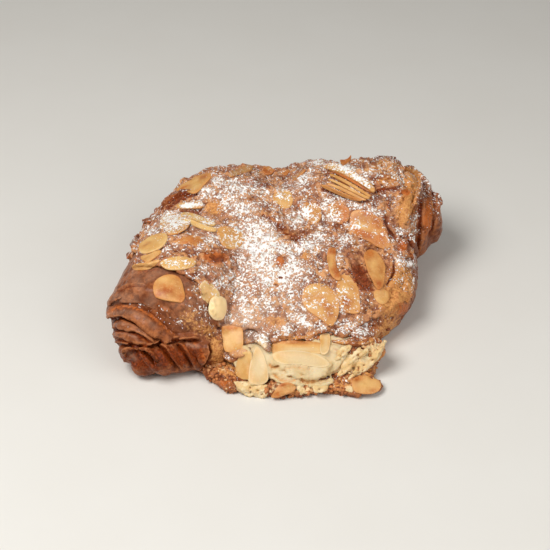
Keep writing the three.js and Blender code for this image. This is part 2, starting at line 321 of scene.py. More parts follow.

# %% [markdown]
# ## Finishes
# Crust is never one brown: edges that stand out are painted lighter as a highlight, creases and broad
# hollows are painted darker as shade, and lumps of noise of several sizes break up the rest. The colours
# are set a little less red than they look alone, because a warm crust on a white table always reads
# redder than it is. Over the browns go the marks that the mesh carries, then a thin veil of sugar that
# also carries painted sheen, and then the sugar itself.

# %% Browns
GOLDEN = colour(222, 160, 92)
TAN = colour(184, 116, 62)
ORANGE = colour(186, 100, 44)
PALE = colour(240, 212, 160)
# The edge colour is a painted highlight on edges that stand out, and DEEP_BROWN is also the painted shade in
# creases.
PAINTED_EDGE_HIGHLIGHT = colour(204, 130, 80)
DEEP_BROWN = colour(86, 30, 7)
RED_BROWN = colour(140, 58, 16)


def blotched(finish, fine, light, middle, dusky, blotch):
    """Three browns in lumps of several sizes."""
    base = finish.lumps(7.0, 3.0).ramp(0.38, 0.62).mix(middle, light)
    base = (finish.lumps(2.9, 3.0).ramp(0.46, 0.62) * (0.75 * blotch)).mix(base, dusky)
    base = (finish.lumps(1.3, 2.0).ramp(0.52, 0.66) * (0.5 * blotch)).mix(base, dusky)
    base = (fine.ramp(0.54, 0.7) * 0.45).mix(base, light)
    return (finish.specks(0.8).ramp(0.7, 0.78) * (0.4 * blotch)).mix(base, dusky)


def fray(finish, name):
    """A painted mark with a ragged edge."""
    return (finish.carried(name) + 1.3 * finish.lumps(1.3, 4.0, 0.6) - 0.65).ramp(0.32, 0.6)


def browned_lit_and_shaded(finish, fine, base):
    """The browns with the mesh's marks, a painted highlight on its proud edges and painted shade in its
    creases.
    """
    relief, hollow = finish.carried("relief"), finish.carried("hollow")
    base = (fray(finish, "golden") * 0.9).mix(base, fine.ramp(0.38, 0.6).mix(TAN, GOLDEN))
    base = fray(finish, "orange").mix(base, ORANGE)
    base = fray(finish, "pale").mix(base, PALE)
    # Painted highlight on edges that stand out, then painted shade in broad hollows and in creases.
    base = (relief.ramp(0.08, 0.7) * 0.45).mix(base, PAINTED_EDGE_HIGHLIGHT)
    base = ((0.0 - hollow).ramp(0.05, 0.9) * 0.85).mix(base, DEEP_BROWN)
    base = ((0.0 - relief).ramp(0.1, 0.8) * 0.6).mix(base, DEEP_BROWN)
    return (fray(finish, "dark") * 0.85).mix(base, fine.ramp(0.4, 0.62).mix(DEEP_BROWN, RED_BROWN))


print("deepest brown, linear:", [round(part, 3) for part in DEEP_BROWN])

# %% Baked crust and coat
BAKED_SHINE = 0.15
LAYER_WAVES = 5.2  # radians, for each millimetre, of the wave that draws the layers


def baked_finish(name, light, middle, dusky, gloss, blotch, grain):
    """Something baked, from three browns: with marks, lines of layers, a veil of sugar and painted sheen, and
    the sugar.
    """
    finish = Finish(name)
    fine, sugar = finish.lumps(0.8, 4.0, 0.65), finish.carried("sugar")
    base = browned_lit_and_shaded(finish, fine, blotched(finish, fine, light, middle, dusky, blotch))
    layers = finish.carried("layers") * LAYER_WAVES + 3.0 * finish.lumps(4.0, 2.0)
    waves = finish.shade.node("ShaderNodeMath", {"operation": "SINE"}, {0: layers})
    lines = waves * finish.carried("edge_on")
    base = (lines.ramp(0.25, 0.95) * 0.5).mix(base, DEEP_BROWN)
    # The veil: hazy sugar, plus painted sheen and painted highlights where the mesh carries them.
    veil = (finish.carried("haze_and_sheen") + sugar.ramp(0.15, 0.7)) * (0.12 + 0.6 * finish.lumps(1.2, 3.0))
    base = veil.mix(base, SUGAR_VEIL_AND_SHEEN)
    dust = dusting(finish, sugar)
    finish.wire("Base Color", dust.mix(base, SUGAR_WHITE))
    finish.wire("Roughness", gloss + 0.2 * fine + dust * 0.35)
    finish.wire("Specular IOR Level", BAKED_SHINE)
    finish.bump(0.6 * fine + 0.4 * finish.lumps(0.35, 2.0) + 0.9 * dust - 0.5 * lines, grain)
    return finish.material


crust = baked_finish("baked pastry", light=colour(162, 95, 55), middle=colour(128, 69, 38),
                     dusky=colour(92, 42, 20), gloss=0.2, blotch=0.9, grain=0.16)
coat = baked_finish("browned almond coat", light=colour(214, 154, 102), middle=colour(176, 116, 80),
                    dusky=colour(116, 64, 48), gloss=0.5, blotch=1.1, grain=0.32)
print("finishes:", crust.name, "and", coat.name)


# %% The almond cream
def cream_finish():
    finish = Finish("almond cream")
    relief = finish.carried("relief")
    seam_shade = finish.carried("seam_shade")
    patches = finish.lumps(7.0, 3.0).ramp(0.35, 0.65)
    fine = finish.lumps(0.8, 4.0, 0.6)
    base = patches.mix(colour(218, 196, 155), colour(210, 182, 132))
    # Painted shade: darker orange in the cream's creases, and along the gaps below its steps.
    base = ((0.0 - relief).ramp(0.1, 0.8) * 0.7).mix(base, colour(212, 150, 78))
    base = (fine.ramp(0.58, 0.8) * 0.35).mix(base, colour(236, 194, 122))
    base = (seam_shade * (0.5 + 0.5 * fine)).mix(base, colour(206, 140, 74))
    finish.wire("Base Color", base)
    finish.wire("Roughness", 0.5 + 0.2 * fine)
    finish.wire("Subsurface Weight", 0.25)
    finish.wire("Subsurface Radius", (1.0, 0.6, 0.3))
    finish.wire("Subsurface Scale", 1.5 * MM)
    finish.bump(0.7 * fine + 0.4 * finish.lumps(0.35, 2.0), 0.18)
    return finish.material


cream_paste = cream_finish()
print("finish:", cream_paste.name)


# %% Toasted and blanched almond
def almond_finish():
    """Almond from its carried toast: brown above 0, cream-white below, and almost yellow far below, as
    painted light on a shaded flake.
    """
    finish = Finish("flaked almond")
    toast, rim, sugar = finish.carried("toast"), finish.carried("rim"), finish.carried("sugar")
    cloudy = finish.lumps(6.0, 2.0)
    toast = toast + toast.ramp(0.1, 0.8) * (finish.lumps(4.0, 3.0) - 0.5) * 1.6
    fine = finish.lumps(0.7, 3.0)
    pale = cloudy.ramp(0.35, 0.65).mix(colour(226, 182, 114), colour(214, 160, 88))
    brown = cloudy.ramp(0.35, 0.65).mix(colour(196, 114, 46), colour(168, 88, 34))
    base = toast.mix(pale, brown)
    base = (0.0 - toast).ramp(0.0, 1.0).mix(base, colour(217, 189, 142))
    base = (0.0 - toast).ramp(1.2, 2.0).mix(base, colour(250, 214, 156))
    base = (rim.ramp(0.7, 1.0) * toast.ramp(0.0, 0.3) * 0.4).mix(base, colour(214, 142, 72))
    base = (rim.ramp(0.8, 1.0) * (0.0 - toast).ramp(0.0, 0.3) * 0.35).mix(base, colour(250, 234, 196))
    base = ((1.0 - rim).ramp(0.5, 1.0) * 0.35 * toast).mix(base, colour(196, 114, 50))
    base = (fine.ramp(0.5, 0.7) * 0.15).mix(base, colour(250, 222, 160))
    dust = dusting(finish, sugar)
    finish.wire("Base Color", dust.mix(base, SUGAR_WHITE))
    finish.wire("Roughness", 0.42 + 0.15 * fine + dust * 0.4)
    finish.wire("Subsurface Weight", 0.15)
    finish.wire("Subsurface Radius", (1.0, 0.6, 0.3))
    finish.wire("Subsurface Scale", 1.0 * MM)
    finish.bump(0.5 * fine + 1.2 * dust, 0.12)
    return finish.material


almond = almond_finish()
print("finish:", almond.name)


# %% Sugar in grains
def sugar_finish():
    finish = Finish("powdered sugar")
    fine = finish.lumps(0.3, 2.0)
    finish.wire("Base Color", fine.mix(colour(244, 240, 235), colour(252, 250, 247)))
    finish.wire("Roughness", 0.85 + 0.1 * fine)
    finish.wire("Subsurface Weight", 0.2)
    finish.wire("Subsurface Scale", 0.4 * MM)
    return finish.material


sugar_powder = sugar_finish()
print("finish:", sugar_powder.name)

# %% [markdown]
# ## From shape to piece
# Dough is soft and irregular, so rough closed shapes are laid into each other, melted into one skin by
# a voxel Remesh and then worked over point by point. The helpers here do those steps; numpy moves all
# points of a mesh at once, which Python loops over vertices would do slowly.

# %% Pieces and skins
RELAX = 0.5  # how far a point goes towards its neighbours in one round of softening
WELD = 0.001  # millimetres within which corners are one


def piece_of(bm, name):
    mesh = bpy.data.meshes.new(name)
    bm.to_mesh(mesh)
    bm.free()
    piece = bpy.data.objects.new(name, mesh)
    scene.collection.objects.link(piece)
    return piece


def settle(piece):
    """Makes what the piece's modifiers show its own mesh."""
    graph = bpy.context.evaluated_depsgraph_get()
    mesh = bpy.data.meshes.new_from_object(piece.evaluated_get(graph))
    rough = piece.data
    piece.modifiers.clear()
    piece.data = mesh
    bpy.data.meshes.remove(rough)


def one_skin(piece, voxel, soften):
    """Melts shapes that overlap into one closed skin, and softens its steps."""
    remesh = piece.modifiers.new("one skin", "REMESH")
    remesh.mode = "VOXEL"
    remesh.voxel_size = voxel * MM
    relax = piece.modifiers.new("soften", "SMOOTH")
    relax.factor = RELAX
    relax.iterations = soften
    settle(piece)


def copy_of(node):
    """The solid's mesh with its loose triangles joined."""
    bm = bmesh.new()
    bm.from_mesh(frame["nodes"][node].data)
    bmesh.ops.remove_doubles(bm, verts=bm.verts, dist=WELD * MM)
    return bm


print("solids to dress:", list(frame["nodes"]))


# %% Points
def points_of(mesh):
    flat = np.empty(3 * len(mesh.vertices))
    mesh.vertices.foreach_get("co", flat)
    return flat.reshape(-1, 3)


def normals_of(mesh):
    flat = np.empty(3 * len(mesh.vertices))
    mesh.vertices.foreach_get("normal", flat)
    return flat.reshape(-1, 3)


def move_points(mesh, points):
    mesh.vertices.foreach_set("co", points.ravel())
    mesh.update()


def swell(piece, heights):
    """Moves each point along its normal by a height in millimetres."""
    mesh = piece.data
    move_points(mesh, points_of(mesh) + normals_of(mesh) * (np.asarray(heights) * MM)[:, None])


def lumpy(points, size, octaves=2, seed=0):
    """Smooth random heights from about -1 to 1, with lumps of a size in millimetres."""
    shift = Vector((17.3, 5.1, 9.7)) * seed
    return np.array([noise.fractal(Vector(p) / (size * MM) + shift, 1.0, 2.0, octaves) for p in points])


def soft_step(values, low, high):
    share = np.clip((np.asarray(values) - low) / (high - low), 0, 1)
    return share * share * (3 - 2 * share)


print("a soft step from 0 to 4:", soft_step(range(5), 0, 4))

# %% Values that points carry, and finished pieces
FINE_RELIEF = (10, 0.4)  # rounds of softening, and the millimetres that count as 1
BROAD_RELIEF = (70, 1.5)


def paint(piece, name, values):
    """Gives every point a value that the materials can read."""
    layer = piece.data.attributes.new(name, "FLOAT", "POINT")
    layer.data.foreach_set("value", np.asarray(values, dtype=np.float32))


def relief_of(piece, rounds, unit):
    """How far each point stands out of a softened copy of its mesh, in units of some millimetres."""
    relax = piece.modifiers.new("soften", "SMOOTH")
    relax.factor = RELAX
    relax.iterations = rounds
    graph = bpy.context.evaluated_depsgraph_get()
    softened = points_of(piece.evaluated_get(graph).data)
    piece.modifiers.remove(relax)
    mesh = piece.data
    out = ((points_of(mesh) - softened) * normals_of(mesh)).sum(1)
    return np.clip(out / (unit * MM), -1, 1)


# Relief and hollow feed the finishes' painted highlight on proud edges and painted shade in creases.
def paint_relief(piece):
    paint(piece, "relief", relief_of(piece, *FINE_RELIEF))
    paint(piece, "hollow", relief_of(piece, *BROAD_RELIEF))


def carried_by(piece, name):
    """What the points of a piece carry under a name."""
    values = np.empty(len(piece.data.vertices), dtype=np.float32)
    piece.data.attributes[name].data.foreach_get("value", values)
    return values


def finish_piece(piece, material, slot, *nodes):
    """Gives a piece its material, keeps it on the table, hangs it on the root body and hides the solids it
    stands in for.
    """
    points = points_of(piece.data)
    points[:, 2] = np.maximum(points[:, 2], 0.0)
    move_points(piece.data, points)
    piece.data.materials.clear()
    piece.data.materials.append(material)
    piece.data.shade_smooth()
    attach(piece, "root")
    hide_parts(*nodes)
    print(piece.name, "triangles:", sum(len(face.vertices) - 2 for face in piece.data.polygons))


print("relief is measured over rounds of", FINE_RELIEF[0], "and", BROAD_RELIEF[0])

# %% [markdown]
# ## Marks of the front view
# The baker's hand was uneven: sugar fell in drifts, the coat browned in patches and stayed golden in
# others. Each mark below is an oval of the front view: its middle, its two reaches in pixels, its turn
# in degrees and a weight. A mark holds only where the surface faces that view, so nothing bleeds
# through to the back, and the materials fray its edge.

# %% Marks of sugar
MARKS = {
    "sugar": [
        (262, 250, 27, 20, -30, 0.95), (292, 266, 18, 14, 20, 0.85), (276, 279, 22, 12, 15, 0.8),
        (246, 236, 14, 13, 0, 0.8), (238, 293, 12, 9, 20, 0.75), (231, 281, 8, 6, 0, 0.8),
        (306, 247, 13, 7, 10, 0.85), (318, 235, 8, 10, 0, 0.65), (296, 220, 9, 6, 0, 0.7),
        (306, 212, 6, 6, 0, 0.8), (325, 204, 4, 8, 0, 0.8), (334, 217, 7, 5, 0, 0.75),
        (262, 228, 16, 8, 25, 0.75), (243, 206, 16, 10, 0, 0.72), (236, 187, 11, 8, 0, 0.8),
        (218, 181, 7, 5, 0, 0.9), (207, 192, 7, 5, 0, 0.8), (224, 200, 10, 8, 0, 0.55),
        (258, 191, 9, 5, 0, 0.55), (317, 162, 8, 4, 0, 0.95), (305, 176, 10, 6, -20, 0.7),
        (298, 187, 9, 7, 0, 0.55), (346, 168, 12, 4, 18, 0.95), (359, 179, 6, 4, 30, 0.7),
        (350, 204, 15, 4, 14, 0.9), (376, 212, 9, 3, 20, 0.8), (392, 207, 7, 6, 0, 0.6),
        (416, 230, 4, 15, -10, 0.85), (401, 234, 5, 5, 0, 0.8), (398, 261, 6, 5, 0, 0.9),
        (410, 264, 8, 3, 12, 0.85), (430, 180, 6, 9, -30, 0.8), (419, 168, 6, 3, 0, 0.6),
        (402, 186, 5, 4, 0, 0.5), (355, 226, 9, 4, 0, 0.85), (361, 246, 5, 4, 0, 0.8),
        (345, 240, 8, 7, 0, 0.6), (341, 257, 5, 10, 0, 0.55), (190, 205, 13, 3, -5, 1.0),
        (169, 213, 8, 5, -15, 0.9), (174, 223, 14, 6, -15, 0.8), (151, 230, 6, 4, 0, 0.8),
        (207, 222, 9, 3, 25, 0.8), (210, 240, 6, 6, 0, 0.75), (177, 246, 4, 3, 0, 0.6),
        (200, 249, 6, 4, 0, 0.8), (172, 263, 5, 3, 0, 0.8), (204, 268, 7, 5, 0, 0.75),
        (193, 290, 7, 5, 0, 0.5), (218, 285, 6, 6, 0, 0.6), (244, 309, 7, 8, 0, 0.6),
        (228, 317, 6, 5, 0, 0.6), (246, 322, 6, 4, 0, 0.6), (264, 337, 6, 5, 0, 0.55),
        (298, 318, 9, 6, 0, 0.75), (285, 328, 8, 6, 0, 0.7), (266, 306, 14, 12, 0, 0.45),
        (292, 304, 12, 10, 0, 0.4), (228, 356, 8, 5, 0, 0.7), (205, 366, 5, 4, 0, 0.6),
        (342, 192, 20, 3, 28, 0.3), (384, 200, 10, 5, 0, 0.5), (308, 325, 8, 5, 0, 0.6),
        (326, 330, 9, 5, 10, 0.7), (350, 326, 12, 5, 5, 0.7), (362, 334, 13, 5, 0, 0.75),
        (229, 238, 10, 6, 0, 0.7), (281, 196, 9, 8, 0, 0.6), (319, 300, 9, 9, 0, 0.4),
        (372, 172, 8, 5, 0, 0.4), (343, 298, 6, 13, 0, 0.6), (385, 163, 12, 7, 0, 0.2),
        (398, 176, 8, 8, 0, 0.3), (367, 184, 6, 4, 35, 0.9),
    ],
    "bare": [
        (286, 232, 9, 5, 30, 0.9), (293, 238, 8, 4, 20, 0.7), (268, 215, 9, 3, 35, 0.6),
        (249, 199, 9, 3, 0, 0.5), (308, 231, 9, 5, 0, 0.5), (283, 309, 9, 4, 0, 0.6),
        (275, 320, 12, 6, 0, 0.7), (358, 266, 13, 17, -30, 0.95), (216, 258, 15, 9, 12, 1.0),
        (187, 254, 12, 7, 0, 0.7), (212, 207, 7, 7, 0, 0.9), (408, 200, 8, 22, 10, 0.9),
        (175, 201, 14, 7, -35, 1.0), (426, 218, 6, 19, 0, 1.0), (375, 186, 9, 9, 0, 0.5),
        (392, 300, 15, 20, 0, 1.0), (366, 282, 12, 8, 30, 1.0), (403, 309, 12, 12, 0, 1.0),
        (280.5, 260.7, 6, 6, 0, 1.0), (306, 256, 6, 5, 0, 0.7), (230, 345, 15, 13, 0, 0.9),
        (160, 290, 30, 16, 20, 0.8), (376, 262, 12, 24, -20, 0.9), (226, 300, 8, 12, 0, 0.8),
        (206, 292, 8, 8, 0, 0.6), (345, 209, 7, 12, 0, 0.6), (214, 374, 26, 16, 20, 0.9),
        (290, 390, 60, 10, 0, 1.0), (363, 357, 24, 16, -38, 1.0), (368, 386, 18, 12, 0, 1.0),
        (388, 205, 8, 8, 0, 0.65), (393, 220, 6, 9, -10, 0.6),
    ],
}
print("drifts and bare spots:", len(MARKS["sugar"]), "and", len(MARKS["bare"]))

# %% Marks of browning and of painted shade
MARKS |= {
    # Dark marks: darker crust in the valley and elsewhere, and painted shade in hollows and in the gaps under
    # the stack of slivers.
    "dark": [
        (218, 259, 12, 4, 5, 0.8), (207, 252, 8, 4, 0, 0.4), (366, 286, 10, 6, 30, 1.0),
        (360, 274, 9, 12, -35, 0.9), (346, 184, 26, 5, 30, 0.95), (340, 195, 22, 3, 18, 0.95),
        (375, 199, 6, 3, 20, 0.9), (345, 283, 3, 9, -30, 0.8), (298, 237, 9, 5, 0, 0.65),
        (282, 227, 10, 4, 36, 0.55), (267, 215, 9, 3.5, 35, 0.5), (338, 226, 9, 5, -20, 0.85),
        (318, 238, 8, 3, -15, 0.5), (313, 222, 4, 2, -30, 0.8), (264, 185, 8, 2.5, 10, 1.0),
        (177, 199, 13, 5, -32, 0.75), (187, 194, 6, 2, -10, 0.8), (190, 211, 10, 2, -5, 0.9),
        (200, 227, 5, 2, 30, 0.8), (385, 220, 3, 6, -15, 0.9), (391, 234, 3, 8, -30, 0.8),
        (409, 242, 3, 11, -35, 0.7), (426, 219, 6, 19, 3, 0.25), (388, 198, 4, 4, 0, 0.6),
        (379, 197, 4, 2, 0, 0.9), (192, 275, 8, 3, 8, 0.7), (186, 300, 4, 6, 0, 0.6),
        (166, 256, 7, 2, -20, 0.5), (150, 270, 14, 2, -5, 0.8), (278, 212, 3, 1.5, 10, 0.9),
        (250, 199, 9, 3, 0, 0.45), (306, 231, 8, 4, 0, 0.5), (391, 270, 5, 8, 25, 0.5),
        (404, 311, 8, 7, 0, 0.3), (389, 205, 7, 6, 0, 0.55), (392, 218, 5, 8, -10, 0.5),
    ],
    # Golden marks: crust that stayed golden; those on the right flank and low at the front left also lighten
    # sides that lie in shade, as painted light.
    "golden": [
        (408, 200, 9, 24, 10, 1.0), (402, 216, 6, 10, 12, 0.9), (408, 174, 10, 7, 0, 0.8),
        (417, 184, 5, 9, 0, 0.7), (433, 205, 3, 14, 0, 0.5), (392, 296, 15, 24, 10, 1.0),
        (275, 321, 13, 7, 0, 0.7), (286, 232, 8, 4, 30, 0.6), (281, 196, 10, 9, 0, 0.7),
        (306, 256, 6, 4, 0, 0.8), (215, 208, 11, 9, 0, 0.9), (236, 325, 10, 6, 0, 0.6),
        (370, 170, 8, 5, 0, 0.7), (386, 165, 14, 9, 0, 0.75), (396, 180, 10, 8, 0, 0.6),
        (384, 182, 9, 5, 0, 0.6), (397, 265, 10, 8, 0, 0.5), (198, 290, 9, 9, 0, 0.5),
        (190, 318, 16, 14, 0, 0.5), (206, 330, 12, 8, 0, 0.5), (216, 348, 8, 13, 0, 0.8),
        (372, 240, 12, 12, 0, 0.5), (386, 330, 14, 8, -25, 0.8), (415, 178, 6, 6, 0, 0.6),
        (340, 341, 9, 4, 10, 0.9), (365, 341, 12, 4, 0, 0.8), (300, 338, 22, 3, 0, 0.7),
        (220, 368, 7, 3, 0, 0.8), (232, 372, 6, 4, 0, 0.5), (244, 340, 10, 6, 0, 0.6),
        (225, 368, 13, 8, 15, 0.9), (404, 284, 11, 18, 0, 0.9), (343, 385, 12, 8, 0, 0.9),
        (366, 373, 12, 6, -20, 0.8), (384, 358, 7, 14, 25, 0.8), (305, 391, 36, 5, 0, 0.6),
        (240, 352, 13, 6, 0, 0.9),
    ],
    "orange": [
        (280.5, 260.7, 4.5, 5, 0, 1.0), (147, 222, 5, 4, 0, 0.45), (136, 240, 5, 9, -20, 0.4),
        (216, 258, 16, 8, 8, 0.8), (403, 308, 10, 11, 0, 0.6), (427, 216, 7, 19, 3, 0.7),
        (128, 258, 4, 5, 0, 0.45), (250, 181, 6, 4, 0, 0.8), (270, 171, 5, 3, 0, 0.8),
        (405, 192, 7, 4, 0, 0.8), (402, 246, 6, 7, 0, 0.8), (412, 256, 5, 4, 0, 0.6),
        (207, 282, 12, 4, 5, 0.5), (186, 240, 8, 4, 0, 0.6), (320, 336, 8, 4, 0, 0.6),
        (388, 342, 8, 3, -20, 0.5), (299, 205, 3, 2, 0, 0.7), (226, 384, 10, 5, 20, 0.6),
        (330, 388, 10, 4, 0, 0.6),
    ],
}
print("dark, golden and orange marks:", [len(MARKS[kind]) for kind in ("dark", "golden", "orange")])

# %% Marks of cream, melted sugar and torn dough
MARKS |= {
    "pale": [
        (362, 358, 24, 9, -38, 1.0), (252, 389, 19, 8, 5, 1.0), (300, 384, 26, 5, 0, 0.8),
        (334, 350, 6, 7, 0, 0.8), (348, 388, 4, 3, 0, 0.9), (262, 343, 9, 10, 0, 0.6),
        (376, 380, 6, 3, 0, 0.6), (304, 390, 8, 4, 0, 0.5), (224, 367, 12, 7, 15, 0.45),
    ],
    "haze_and_sheen": [
        (246, 322, 20, 18, 0, 0.8), (282, 310, 24, 12, 0, 0.35), (225, 310, 8, 14, 0, 0.45),
        (190, 316, 18, 15, 0, 0.2), (240, 350, 14, 7, 0, 0.7), (262, 343, 10, 10, 0, 0.9),
        (222, 268, 14, 8, 0, 0.3), (205, 228, 20, 12, 0, 0.3), (395, 225, 12, 18, 0, 0.1),
    ],
    "crumbly": [
        (214, 374, 24, 16, 20, 1.0), (250, 388, 20, 8, 0, 1.0), (300, 390, 34, 8, 0, 0.9),
        (345, 386, 20, 9, 0, 1.0), (363, 357, 24, 14, -38, 1.0), (218, 352, 10, 8, 0, 0.7),
    ],
}
print("pale, hazy and crumbly marks:", [len(MARKS[kind]) for kind in ("pale", "haze_and_sheen", "crumbly")])

# %% Marks on the almonds
MARKS |= {
    "toasted": [
        (232, 327, 11, 3.5, 0, 0.9), (296, 341, 24, 3.5, 0, 0.9), (274, 349, 5, 4, 0, 0.6),
        (168, 290, 5, 5, 0, 0.7), (369, 253, 4, 5, -30, 0.9), (332, 250, 4, 3, 0, 0.8),
        (337, 273, 3, 5, 0, 0.8), (361, 233, 11, 3, 20, 0.9), (285, 384, 9, 2, 0, 0.6),
        (277, 394, 6, 3, -30, 0.5), (358, 378, 5, 3, 0, 0.6), (375, 391, 6, 3, 0, 0.45),
        (318, 296, 4, 7, -40, 0.6), (329, 309, 4, 8, -30, 0.6), (346, 300, 4, 8, 0, 0.5),
        (148, 243, 8, 2.5, -30, 0.7), (160, 236, 6, 2, 0, 0.5), (183, 188, 8, 2, -20, 0.7),
        (203, 177, 6, 3, -30, 0.6), (380, 286, 3, 4, 0, 0.7), (181, 298, 4, 4, 0, 0.6),
        (158, 295, 5, 3, 0, 0.5), (213, 301, 4, 3, 0, 0.5), (219, 319, 6, 2, 0, 0.5),
        (272, 361, 4, 4, 0, 0.5),
    ],
    "blanched": [
        (232, 341, 7, 9, 0, 0.4), (259, 366, 8, 14, 0, 0.9), (300, 349, 22, 3, 0, 0.8),
        (245, 362, 4, 8, 0, 0.4), (326, 341, 3, 7, 0, 0.5), (362, 226, 9, 4, 15, 0.6),
        (345, 290, 6, 8, 0, 0.5), (165, 279, 8, 3, 0, 0.4), (154, 240, 8, 3, -25, 0.4),
        (374, 266, 4, 9, -15, 0.4), (331, 262, 2.5, 6, 0, 0.5), (312, 290, 6, 4, 0, 0.5),
        (366, 384, 8, 4, 0, 0.3), (196, 183, 6, 4, -30, 0.5), (305, 362, 22, 9, 10, 0.9),
    ],
}
print("toasted and blanched marks:", [len(MARKS[kind]) for kind in ("toasted", "blanched")])

# %% What marks say of a point
SUGAR_EVERYWHERE = 0.34
SUGAR_MOST = 0.7  # cover in the middle of the thickest drift
BAKED_MARKS = ("dark", "golden", "orange", "pale", "haze_and_sheen")


def facing(normals, low, high):
    """1 where a surface faces the front view, 0 where it is turned away."""
    return soft_step(normals @ np.array(TO_CAMERA), low, high)


def marked(kind, points, normals):
    """How strongly marks of a kind hold at points of the frame, from 0 to 1."""
    across, down = seen(points)
    rest = np.ones(len(points))
    for x, y, wide, high, turn, weight in MARKS[kind]:
        cos, sin = math.cos(math.radians(turn)), math.sin(math.radians(turn))
        u = ((across - x) * cos + (down - y) * sin) / wide
        v = ((down - y) * cos - (across - x) * sin) / high
        rest *= 1 - weight * np.exp(-(u * u + v * v))
    return (1 - rest) * facing(normals, 0.0, 0.25)


def sugar_on(points, normals):
    """How thickly sugar lies: as the marks say, a thin veil elsewhere, and none on steep sides."""
    drifts = 1 - (1 - SUGAR_EVERYWHERE) * (1 - marked("sugar", points, normals))
    bare = marked("bare", points, normals)
    return SUGAR_MOST * drifts * (1 - bare) * soft_step(normals[:, 2], 0.0, 0.5)


def paint_marks(piece, sugar_share=1.0, strokes=None):
    """Gives a piece the values that baked finishes read and that don't come from its own shape."""
    points, normals = points_of(piece.data), normals_of(piece.data)
    for kind in BAKED_MARKS:
        stroke = (strokes or {}).get(kind, 0.0)
        paint(piece, kind, np.maximum(marked(kind, points, normals), stroke))
    paint(piece, "sugar", sugar_on(points, normals) * sugar_share)


print("marks in all:", sum(len(ovals) for ovals in MARKS.values()))

# %% [markdown]
# ## Lines of the front view
# Edges and seams are drawn as lines of pixels, from left to right. Along a line a layer of dough ends:
# just above it the surface stands out, just below it drops back, and the drop itself is painted dark as
# shade in the gap. One function tells how far above a line each point appears, and both the shape and
# the paint are made from that distance.


# %% Distances from lines
def above_line(across, down, line):
    """Pixels above a line, negative below it, and the share from the line's ends, 1 at its middle."""
    line = np.array(line, dtype=float)
    lengths = np.linalg.norm(np.diff(line, axis=0), axis=1)
    best = np.full(len(across), np.inf)
    signed, share = np.zeros(len(across)), np.zeros(len(across))
    for number, (start, end) in enumerate(zip(line[:-1], line[1:])):
        way = (end - start) / lengths[number]
        u = np.clip((across - start[0]) * way[0] + (down - start[1]) * way[1], 0, lengths[number])
        x, y = across - start[0] - u * way[0], down - start[1] - u * way[1]
        distance = np.hypot(x, y)
        nearer = distance < best
        best[nearer] = distance[nearer]
        signed[nearer] = (np.where(way[1] * x > way[0] * y, 1, -1) * distance)[nearer]
        share[nearer] = ((lengths[:number].sum() + u) / lengths.sum())[nearer]
    return signed, 2 * np.minimum(share, 1 - share)


signed, _ = above_line(np.array([5.0, 5.0]), np.array([-3.0, 3.0]), [(0, 0), (10, 0)])
print("three pixels above and below a line:", signed)

# %% Steps and strokes
EDGE_TURN = (-0.4, 0.8)  # pixels below and above a line between which its gap turns into its edge
GAP_START = 0.6  # pixels below a line from which its gap fades out
GAP_SHARE = 0.45  # the gap's reach as a share of the edge's
GAP_DARKEST, GAP_WIDTH = 0.9, 1.5  # pixels below a line at which its gap is darkest, and how wide it is
FRONT_TURN = (-0.1, 0.2)  # how far a surface turns to the view before steps and strokes hold


def stepped(points, normals, rows):
    """Heights in millimetres, and painted shade for the gap below each edge, from rows of how proud, how
    deep, the reach and the line.
    """
    across, down = seen(points)
    heights, gap_shade = np.zeros(len(points)), np.zeros(len(points))
    front = facing(normals, *FRONT_TURN)
    for proud, deep, reach, line in rows:
        above, inside = above_line(across, down, line)
        fade = front * soft_step(inside, 0.0, 0.25)
        turn = soft_step(above, *EDGE_TURN)
        up = proud * np.exp(-np.maximum(above - EDGE_TURN[1], 0) / reach) * turn
        falling = np.minimum(above + GAP_START, 0) / (GAP_SHARE * reach)
        low = deep * np.exp(-(falling**2)) * (1 - turn)
        heights += (up - low) * fade
        # Painted shade in the gap just below the line.
        gap = np.exp(-(((above + GAP_DARKEST) / GAP_WIDTH) ** 2)) * min(1.0, deep)
        gap_shade = np.maximum(gap_shade, gap * fade)
    return heights, gap_shade


def stroked(points, normals, rows):
    """How strongly painted strokes hold, from rows of the width in pixels, the weight and the line."""
    across, down = seen(points)
    most = np.zeros(len(points))
    for width, weight, line in rows:
        above, inside = above_line(across, down, line)
        stroke = weight * np.exp(-((above / width) ** 2)) * soft_step(inside, -0.1, 0.2)
        most = np.maximum(most, stroke)
    return most * facing(normals, *FRONT_TURN)


print("an edge turns into its gap within", EDGE_TURN[1] - EDGE_TURN[0], "pixels")

# %% [markdown]
# ## Wraps of dough
# A horn is a rolled sheet: sleeve over sleeve, each ending in a lip that stands a little proud of the
# next. A sleeve is lofted here: a circle is placed across the spine, its edges are extruded from
# station to station, and the lip is just a few more stations that turn inwards.


# %% Loft
def loft(bm, rings):
    """A closed skin through rings of points: a circle, extruded from ring to ring and closed at both ends."""
    verts = bmesh.ops.create_circle(bm, segments=len(rings[0]), radius=MM)["verts"]
    edges = list({edge for vert in verts for edge in vert.link_edges})
    order = {vert: number for number, vert in enumerate(verts)}
    for vert, number in order.items():
        vert.co = rings[0][number]
    ends = list(edges)
    for ring in rings[1:]:
        made = bmesh.ops.extrude_edge_only(bm, edges=edges)["geom"]
        fresh = {}
        for vert in (part for part in made if isinstance(part, bmesh.types.BMVert)):
            neighbours = [edge.other_vert(vert) for edge in vert.link_edges]
            root = next(neighbour for neighbour in neighbours if neighbour in order)
            fresh[vert] = order[root]
            vert.co = ring[order[root]]
        edges = [part for part in made if isinstance(part, bmesh.types.BMEdge)]
        edges = [edge for edge in edges if set(edge.verts) <= set(fresh)]
        order = fresh
    bmesh.ops.holes_fill(bm, edges=ends + edges, sides=0)
    bmesh.ops.recalc_face_normals(bm, faces=bm.faces)


